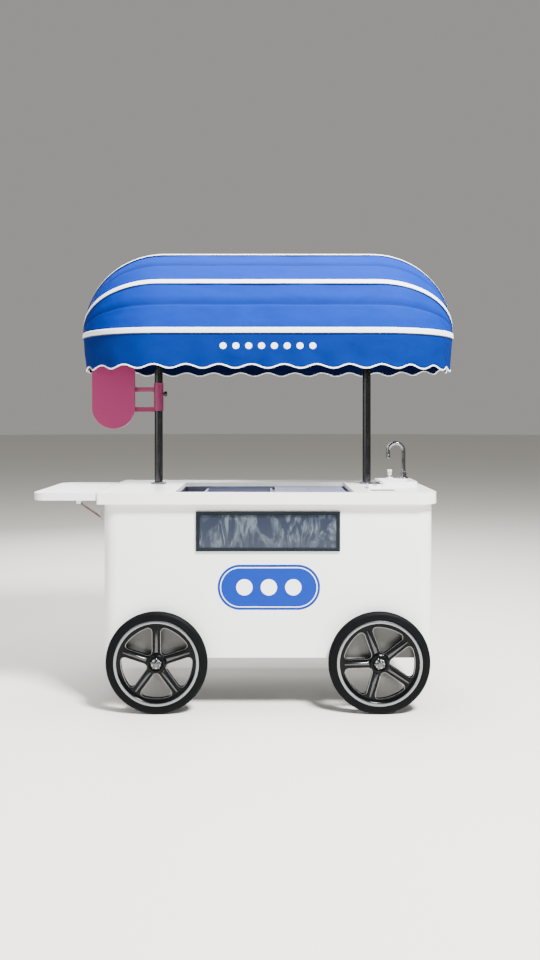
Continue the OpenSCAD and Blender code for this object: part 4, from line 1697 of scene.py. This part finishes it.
class CART_OT_worktop(bpy.types.Operator):
    """Cuts the worktop and the drop leaf from solid surface and eases their edges"""

    bl_idname = "cart.worktop"
    bl_label = "Worktop and leaf"

    def execute(self, context):
        sizes, colours = context.scene.cart_sizes, context.scene.cart_colours
        stone = solid_surface("acrylic stone, polished", colours.counter)
        finished_node("worktop", stone, sizes.edge_round, 3)
        leaf = finished_node(
            "shelf_leaf",
            solid_surface("leaf, acrylic stone", linear("#e6e7eb")),
            sizes.edge_round * 0.8,
            3,
        )
        leaf.modifiers[0].angle_limit = math.radians(50)
        finished_node(
            "shelf_brackets", zinc_plate("leaf hinge, zinc plate"), 0.0006
        )
        finished_node(
            "shelf_stays",
            powder_coat("stay, copper-brown anodised", "#5e4a43", 0.3),
            0.0012,
        )
        self.slot_lining()
        return {"FINISHED"}

    def slot_lining(self):
        """A dark tray in the shallow slot beside the sink."""
        low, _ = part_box("spoon_box")
        floor = TOP_HIGH.z - 0.0118
        tray = bmesh.new()
        bmesh.ops.create_cube(tray, size=1.0)
        bmesh.ops.scale(tray, verts=tray.verts, vec=(0.1155, 0.0535, 0.0122))
        at = Vector((low.x + 0.0585, low.y - 0.0675, floor + 0.0063))
        bmesh.ops.translate(tray, verts=tray.verts, vec=at)
        top = [face for face in tray.faces if face.normal.z > 0.9]
        bmesh.ops.inset_region(tray, faces=top, thickness=0.0025)
        for thickness in (0.0, 0.001):
            bmesh.ops.inset_region(tray, faces=top, thickness=thickness)
            bmesh.ops.translate(
                tray, verts=[v for f in top for v in f.verts], vec=(0, 0, -0.0055)
            )
        lining = piece(
            "slot_tray",
            tray,
            "cart",
            [moulded_plastic("slot tray, dark grey plastic", "#343a4c", 0.4)],
        )
        eased(lining, 0.0003, 1)


class CART_OT_window(bpy.types.Operator):
    """Sets the filmed pane in its dark anodised trim on the front panel"""

    bl_idname = "cart.window"
    bl_label = "Window"

    def execute(self, context):
        finished_node(
            "window_frame",
            brushed_steel("window trim, dark anodised", "#2b3239", 0.34, 0),
            0.0012,
        )
        finished_node(
            "window_glass",
            filmed_glass("glazing under old film"),
            0.0004,
            1,
        )
        low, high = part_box("window_glass")
        centre = Vector(((low.x + high.x) / 2, low.y, (low.z + high.z) / 2))
        # A dark gasket seals the pane to its trim.
        gasket = bmesh.new()
        bmesh.ops.create_grid(gasket, x_segments=1, y_segments=1, size=0.5)
        gasket.transform(
            Matrix.Translation(centre)
            @ Matrix.Rotation(math.radians(90), 4, "X")
            @ Matrix.Diagonal((high.x - low.x, high.z - low.z, 1.0, 1.0))
        )
        inner = gasket.faces[:]
        bmesh.ops.inset_region(
            gasket, faces=inner, thickness=0.006, use_boundary=True
        )
        bmesh.ops.delete(gasket, geom=inner, context="FACES")
        rims = bmesh.ops.extrude_face_region(gasket, geom=gasket.faces[:])
        front = [v for v in rims["geom"] if isinstance(v, bmesh.types.BMVert)]
        bmesh.ops.translate(gasket, verts=front, vec=(0, -0.003, 0))
        bmesh.ops.recalc_face_normals(gasket, faces=gasket.faces)
        seal = piece(
            "window_gasket",
            gasket,
            "cart",
            [tyre_rubber("window gasket, extruded rubber", "#101214")],
        )
        eased(seal, 0.001, 2)
        return {"FINISHED"}


class CART_OT_badge(bpy.types.Operator):
    """Presses a plain blue badge with three white rounds on the front panel"""

    bl_idname = "cart.badge"
    bl_label = "Badge"

    def execute(self, context):
        sizes, colours = context.scene.cart_sizes, context.scene.cart_colours
        low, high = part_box("window_frame")
        centre = Vector(
            ((low.x + high.x) / 2 + 0.004, BODY_LOW.y, low.z - 0.165)
        )
        half = sizes.badge_width / 2
        white = cut_vinyl("vinyl film, white", linear("#f3f5f8"))
        blue = cut_vinyl("vinyl film, blue", colours.badge)
        parts = [
            self.pill(centre, half, 0.104, 0.0, 0.0004, 0),
            self.pill(centre, half - 0.012, 0.092, 0.0004, 0.0003, 1),
            self.pill(centre, half - 0.016, 0.088, 0.0007, 0.0003, 0),
        ]
        for x in (-0.112, 0.0, 0.112):
            spot = centre + Vector((x, 0, 0))
            parts.append(self.pill(spot, 0.037, 0.037, 0.001, 0.0003, 1))
        piece(
            "front_badge", joined(*parts), "cart", [blue, white], (), 30
        )
        return {"FINISHED"}

    def pill(self, centre, half, radius, lift, thickness, index):
        """A flat film with round ends, lifted off the panel."""
        bm = bmesh.new()
        bmesh.ops.create_circle(bm, cap_ends=True, segments=72, radius=radius)
        for vert in bm.verts:
            vert.co.x += math.copysign(half - radius, vert.co.x) if half > radius else 0
        grown = bmesh.ops.extrude_face_region(bm, geom=bm.faces[:])
        top = [v for v in grown["geom"] if isinstance(v, bmesh.types.BMVert)]
        bmesh.ops.translate(bm, verts=top, vec=(0, 0, thickness))
        bmesh.ops.recalc_face_normals(bm, faces=bm.faces)
        for face in bm.faces:
            face.material_index = index
        bm.transform(
            Matrix.Translation(centre + Vector((0, -lift, 0)))
            @ Matrix.Rotation(math.radians(90), 4, "X")
        )
        return bm


class CART_OT_sign(bpy.types.Operator):
    """Finishes the round-ended sign, its clamp on the post and the clamp's knob"""

    bl_idname = "cart.sign"
    bl_label = "Sign"

    def execute(self, context):
        pink = context.scene.cart_colours.sign
        finished_node(
            "sign_panel",
            powder_coat("sign, pink powder coat", pink, 0.32),
            0.003,
            3,
        )
        # The clamp takes the sign's pink darkened to 0.78, which is painted shade.
        finished_node(
            "sign_bracket",
            powder_coat("sign clamp, pink powder coat, painted shade", shaded(pink, 0.78)[:3], 0.36),
            0.001,
        )
        low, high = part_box("sign_knob")
        at = Vector((high.x, (low.y + high.y) / 2, (low.z + high.z) / 2))
        grip = turned_shape(
            [
                (0.0, 0.0),
                (0.0100, 0.0),
                (0.0128, -0.0018),
                (0.0138, -0.0045),
                (0.0138, -0.0110),
                (0.0120, -0.0140),
                (0.0080, -0.0150),
                (0.0070, -0.0178),
                (0.0040, -0.0180),
                (0.0038, low.x - high.x + 0.0002),
                (0.0, low.x - high.x),
            ],
            at,
            (1, 0, 0),
            60,
        )
        for vert in grip.verts:
            spot = vert.co - at
            reach = math.hypot(spot.y, spot.z)
            if reach > 0.0125:
                swell = 1 - 0.05 * (1 - math.cos(10 * math.atan2(spot.z, spot.y))) / 2
                vert.co.y = at.y + spot.y * swell
                vert.co.z = at.z + spot.z * swell
        piece(
            "clamp_grip",
            grip,
            "clamp_knob",
            [moulded_plastic("knob, black nylon", "#15161a", 0.4)],
            ["sign_knob"],
        )
        return {"FINISHED"}


class CART_OT_well(bpy.types.Operator):
    """Finishes the cold well, its pans, track and sliding lids"""

    bl_idname = "cart.well"
    bl_label = "Cold well"

    def execute(self, context):
        finished_node(
            "well_liner",
            brushed_steel("well liner, brushed stainless", "#868aa0", 0.34, 0),
            0.0006,
        )
        finished_node(
            "gelato_pans",
            brushed_steel("dessert pans, satin stainless", "#8790a4", 0.3, 1),
            0.0005,
            1,
        )
        finished_node(
            "lid_track",
            moulded_plastic("lid track, grey plastic", "#5b6078", 0.4),
            0.0008,
        )
        lid = frosted_lid("sliding lid, polycarbonate")
        for side in ("left", "right"):
            finished_node("lid_" + side, lid, 0.0008)
        return {"FINISHED"}


class CART_OT_sink(bpy.types.Operator):
    """Builds the basin, the swan-neck tap, the soap pump and the spoon box"""

    bl_idname = "cart.sink"
    bl_label = "Sink corner"

    def execute(self, context):
        gloss = moulded_plastic("basin, gloss white acrylic", "#f0f1f0", 0.18)
        chrome = chrome_plate("tap, chrome plate", "#909398")
        basin = finished_node("sink_basin", gloss, 0.006, 4)
        basin.modifiers[0].angle_limit = math.radians(50)
        self.drain(chrome)
        self.tap(chrome)
        self.soap()
        finished_node("spoon_box", gloss, 0.0009)
        finished_node(
            "spoon_lid", chrome_plate("spoon lid, chrome plate"), 0.0006
        )
        return {"FINISHED"}

    def drain(self, chrome):
        """A chrome ring with a domed strainer in the drain."""
        low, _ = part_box("sink_basin")
        at = Vector((low.x + 0.0925, low.y + 0.1085, low.z + 0.0031))
        ring = turned_shape(
            [
                (0.0195, -0.0030),
                (0.0195, 0.0006),
                (0.0215, 0.0016),
                (0.0255, 0.0012),
                (0.0265, 0.0),
                (0.0200, -0.0002),
            ],
            at,
            (0, 0, 1),
            48,
            True,
        )
        dome = turned_shape(
            [
                (0.0, 0.0012),
                (0.0080, 0.0008),
                (0.0140, 0.0),
                (0.0192, -0.0012),
                (0.0192, -0.0024),
                (0.0, -0.0010),
            ],
            at,
            (0, 0, 1),
            48,
        )
        piece("sink_strainer", joined(ring, dome), "cart", [chrome])

    def tap(self, chrome):
        low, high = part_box("tap_spout")
        _, body_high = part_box("tap_body")
        radius = (high.y - low.y) / 2
        foot = Vector((high.x - radius, (low.y + high.y) / 2, 0.0))
        arch = (high.x - low.x) / 2 - radius
        bend_z = high.z - arch - radius
        # The outlet is 1.132 m over the floor, and the nozzle hides the last 6 mm.
        outlet = 1.132
        drop = bend_z - outlet - 0.006
        start = body_high.z + 0.0003
        path = [
            foot + Vector((0, 0, start + (bend_z - start) * i / 8)) for i in range(8)
        ]
        for i in range(33):
            turn = math.pi * i / 32
            path.append(
                foot
                + Vector(
                    (arch * (math.cos(turn) - 1), 0, bend_z + arch * math.sin(turn))
                )
            )
        for i in range(1, 5):
            path.append(foot + Vector((-2 * arch, 0, bend_z - drop * i / 4)))
        neck = tube_along(path, radius - 0.0012, 28, Vector((0, 1, 0)))
        tip = foot + Vector((-2 * arch, 0, outlet))
        nozzle = turned_shape(
            [
                (0.0070, 0.0002),
                (0.0095, 0.0),
                (radius - 0.0002, 0.0012),
                (radius, 0.0030),
                (radius, 0.0150),
                (radius - 0.0010, 0.0170),
                (0.0070, 0.0170),
            ],
            tip,
            (0, 0, 1),
            48,
            True,
        )
        collar = turned_shape(
            [
                (0.0, 0.0),
                (radius - 0.0004, 0.0),
                (radius, 0.0010),
                (radius, 0.0080),
                (radius - 0.0010, 0.0100),
                (0.0, 0.0100),
            ],
            foot + Vector((0, 0, start)),
            (0, 0, 1),
            48,
        )
        stem = turned_shape(
            [(0.0, 0.0), (0.0088, 0.0), (0.0088, 0.0190), (0.0, 0.0190)],
            foot + Vector((0, 0, start - 0.0193)),
            (0, 0, 1),
            32,
        )
        piece(
            "tap_neck",
            joined(neck, nozzle, collar, stem),
            "spout",
            [chrome],
            ["tap_spout"],
            40,
        )
        finished_node("tap_body", chrome, 0.0015, 3)

    def soap(self):
        low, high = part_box("soap_pump")
        plastic = moulded_plastic("soap pump, white plastic", "#e3e7e2", 0.3)
        centre = Vector(((low.x + high.x) / 2, high.y - 0.013, 0.0))
        base = high.z - 0.028
        top = base + 0.002
        stem = turned_shape(
            [(0.0, low.z), (0.0048, low.z), (0.0048, top), (0.0, top)],
            centre,
            (0, 0, 1),
            24,
        )
        head = turned_shape(
            [
                (0.0, base),
                (0.0100, base),
                (0.0105, base + 0.0140),
                (0.0126, base + 0.0170),
                (0.0130, base + 0.0240),
                (0.0112, base + 0.0272),
                (0.0, base + 0.0280),
            ],
            centre,
            (0, 0, 1),
            40,
        )
        lip = centre + Vector((0, 0, base + 0.0205))
        path = [lip + Vector((0, -y, 0)) for y in (0.0, 0.008, 0.016, 0.024)]
        for y, z in ((-0.0295, -0.0008), (-0.0332, -0.003)):
            path.append(lip + Vector((0, y, z)))
        beak = tube_along(path, 0.0042, 16, Vector((1, 0, 0)))
        piece(
            "pump_nozzle",
            joined(stem, head, beak),
            "pump_head",
            [plastic],
            ["soap_pump"],
        )
        finished_node("soap_bottle", plastic, 0.0015, 3)


class CART_OT_rear(bpy.types.Operator):
    """Finishes the service door, vent, control panel and dial at the rear"""

    bl_idname = "cart.rear"
    bl_label = "Rear side"

    def execute(self, context):
        panel = context.scene.cart_colours.panel
        finished_node(
            "rear_door",
            moulded_plastic("door, white laminate", panel, 0.33),
            0.0018,
        )
        finished_node(
            "door_handle",
            brushed_steel("handle, brushed stainless", "#a0a3a8", 0.26, 2),
            0.0012,
        )
        finished_node(
            "vent_grille",
            brushed_steel("vent, satin anodised", "#a3a6aa", 0.38, 0),
            0.0006,
        )
        finished_node(
            "control_panel",
            moulded_plastic("control panel, dark grey plastic", "#3a3d42", 0.42),
            0.002,
            3,
        )
        finished_node(
            "thermostat_knob",
            moulded_plastic("dial, black nylon", "#17181b", 0.38),
            0.0012,
        )
        low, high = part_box("thermostat_knob")
        # A plain scale of ticks round the dial, from -135 to 135 degrees.
        centre = Vector(((low.x + high.x) / 2, high.y, (low.z + high.z) / 2))
        base_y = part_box("control_panel")[0].y + 0.0203
        ticks = []
        for i in range(11):
            tick = bmesh.new()
            bmesh.ops.create_cube(tick, size=1.0)
            bmesh.ops.scale(tick, verts=tick.verts, vec=(0.0014, 0.0004, 0.005))
            bmesh.ops.translate(tick, verts=tick.verts, vec=(0, 0, 0.0235))
            tick.transform(
                Matrix.Translation(Vector((centre.x, base_y, centre.z)))
                @ Matrix.Rotation(math.radians(-135 + 27 * i), 4, "Y")
            )
            ticks.append(tick)
        piece(
            "dial_ticks",
            joined(*ticks),
            "cart",
            [cut_vinyl("printed scale, white", linear("#e8eaec"))],
        )
        return {"FINISHED"}


class CART_OT_inside(bpy.types.Operator):
    """Finishes the machinery and tanks inside the cabinet"""

    bl_idname = "cart.inside"
    bl_label = "Inside the cabinet"

    def execute(self, context):
        finished_node(
            "condensing_unit",
            powder_coat("condensing unit, black enamel", "#2c2e31", 0.4),
            0.002,
        )
        finished_node(
            "water_tanks",
            moulded_plastic("water tanks, milky polyethylene", "#dfe2e0", 0.42),
            0.006,
            3,
        )
        finished_node(
            "water_pump",
            moulded_plastic("water pump, black plastic", "#1c1d20", 0.45),
            0.0015,
        )
        return {"FINISHED"}


# ---------------------------------------------------------------- stage


class CART_OT_stage(bpy.types.Operator):
    """Sets the pale floor, the soft lights and the camera"""

    bl_idname = "cart.stage"
    bl_label = "Stage"

    def execute(self, context):
        floor = bmesh.new()
        bmesh.ops.create_circle(floor, cap_ends=True, segments=96, radius=60.0)
        mesh = bpy.data.meshes.new("studio_floor")
        floor.to_mesh(mesh)
        floor.free()
        ground = bpy.data.objects.new("studio_floor", mesh)
        context.scene.collection.objects.link(ground)
        paint = "#e4e1da"
        material, tree, shader, place = blank_finish(
            "painted studio floor", paint, 0.75
        )
        # Roller paint has a stipple of about 8 mm.
        stipple = add(
            tree, "ShaderNodeTexNoise", {"Vector": place, "Scale": 120.0, "Detail": 2.0}
        )
        tone = add(
            tree,
            "ShaderNodeMix",
            {0: stipple.outputs[0], 6: shaded(paint, 0.98), 7: shaded(paint, 1.02)},
            data_type="RGBA",
        )
        tree.links.new(tone.outputs[2], shader.inputs["Base Color"])
        mesh.materials.append(material)
        world = bpy.data.worlds.new("studio")
        world.use_nodes = True
        sky = world.node_tree.nodes["Background"]
        sky.inputs["Color"].default_value = (*linear("#f1efea"), 1.0)
        sky.inputs["Strength"].default_value = 0.38
        context.scene.world = world
        self.lamp("key", (2.3, -3.5, 5.9), (0.0, 0.0, 0.9), 1.3, 1870)
        self.lamp("fill", (-4.2, -3.4, 2.6), (0.0, 0.0, 1.0), 3.6, 80)
        self.lamp("top", (0.0, 0.4, 5.4), (0.0, 0.0, 1.0), 3.0, 330)
        self.lamp("back", (-1.5, 4.5, 3.6), (0.0, 0.0, 1.2), 3.0, 260)
        self.camera(context)
        return {"FINISHED"}

    def lamp(self, name, spot, target, size, power):
        """A square soft box, turned to its target."""
        data = bpy.data.lights.new(name, "AREA")
        data.energy = power
        data.size = size
        lamp = bpy.data.objects.new(name, data)
        bpy.context.scene.collection.objects.link(lamp)
        lamp.location = spot
        aim = Vector(target) - Vector(spot)
        lamp.rotation_euler = aim.to_track_quat("-Z", "Y").to_euler()

    def camera(self, context):
        data = bpy.data.cameras.new("camera")
        data.lens = 32.2
        data.sensor_width = 36.0
        # A level camera with its lens shifted down keeps the posts upright. It stands
        # 1.35 m up and 3.9 m in front of the worktop's edge.
        data.shift_x = 0.0021
        data.shift_y = -0.0667
        camera = bpy.data.objects.new("camera", data)
        context.scene.collection.objects.link(camera)
        camera.location = ((BODY_LOW.x + BODY_HIGH.x) / 2, TOP_LOW.y - 3.9, 1.35)
        camera.rotation_euler = (math.radians(90), 0.0, 0.0)
        context.scene.camera = camera


# ---------------------------------------------------------------- add-on

OPERATORS = (
    CART_OT_stage,
    CART_OT_hood,
    CART_OT_valance,
    CART_OT_posts,
    CART_OT_wheels,
    CART_OT_casters,
    CART_OT_body,
    CART_OT_worktop,
    CART_OT_window,
    CART_OT_badge,
    CART_OT_sign,
    CART_OT_well,
    CART_OT_sink,
    CART_OT_rear,
    CART_OT_inside,
)


class CART_PT_pieces(bpy.types.Panel):
    """Lists the cart's sizes, colours and pieces"""

    bl_idname = "CART_PT_pieces"
    bl_label = "Push Vending Cart"
    bl_space_type = "VIEW_3D"
    bl_region_type = "UI"
    bl_category = "Cart"

    def draw(self, context):
        layout = self.layout
        for group in (context.scene.cart_sizes, context.scene.cart_colours):
            box = layout.box()
            for key in group.__annotations__:
                box.prop(group, key)
        for operator in OPERATORS:
            layout.operator(operator.bl_idname)


CLASSES = (CartSizes, CartColours, *OPERATORS, CART_PT_pieces)


def register():
    for cls in CLASSES:
        bpy.utils.register_class(cls)
    bpy.types.Scene.cart_sizes = PointerProperty(type=CartSizes)
    bpy.types.Scene.cart_colours = PointerProperty(type=CartColours)


def unregister():
    del bpy.types.Scene.cart_colours
    del bpy.types.Scene.cart_sizes
    for cls in reversed(CLASSES):
        bpy.utils.unregister_class(cls)


def main():
    register()
    bpy.ops.cart.stage()
    bpy.ops.cart.hood()
    bpy.ops.cart.valance()
    bpy.ops.cart.posts()
    bpy.ops.cart.wheels()
    bpy.ops.cart.casters()
    bpy.ops.cart.body()
    bpy.ops.cart.worktop()
    bpy.ops.cart.window()
    bpy.ops.cart.badge()
    bpy.ops.cart.sign()
    bpy.ops.cart.well()
    bpy.ops.cart.sink()
    bpy.ops.cart.rear()
    bpy.ops.cart.inside()


if __name__ == "__main__":
    main()
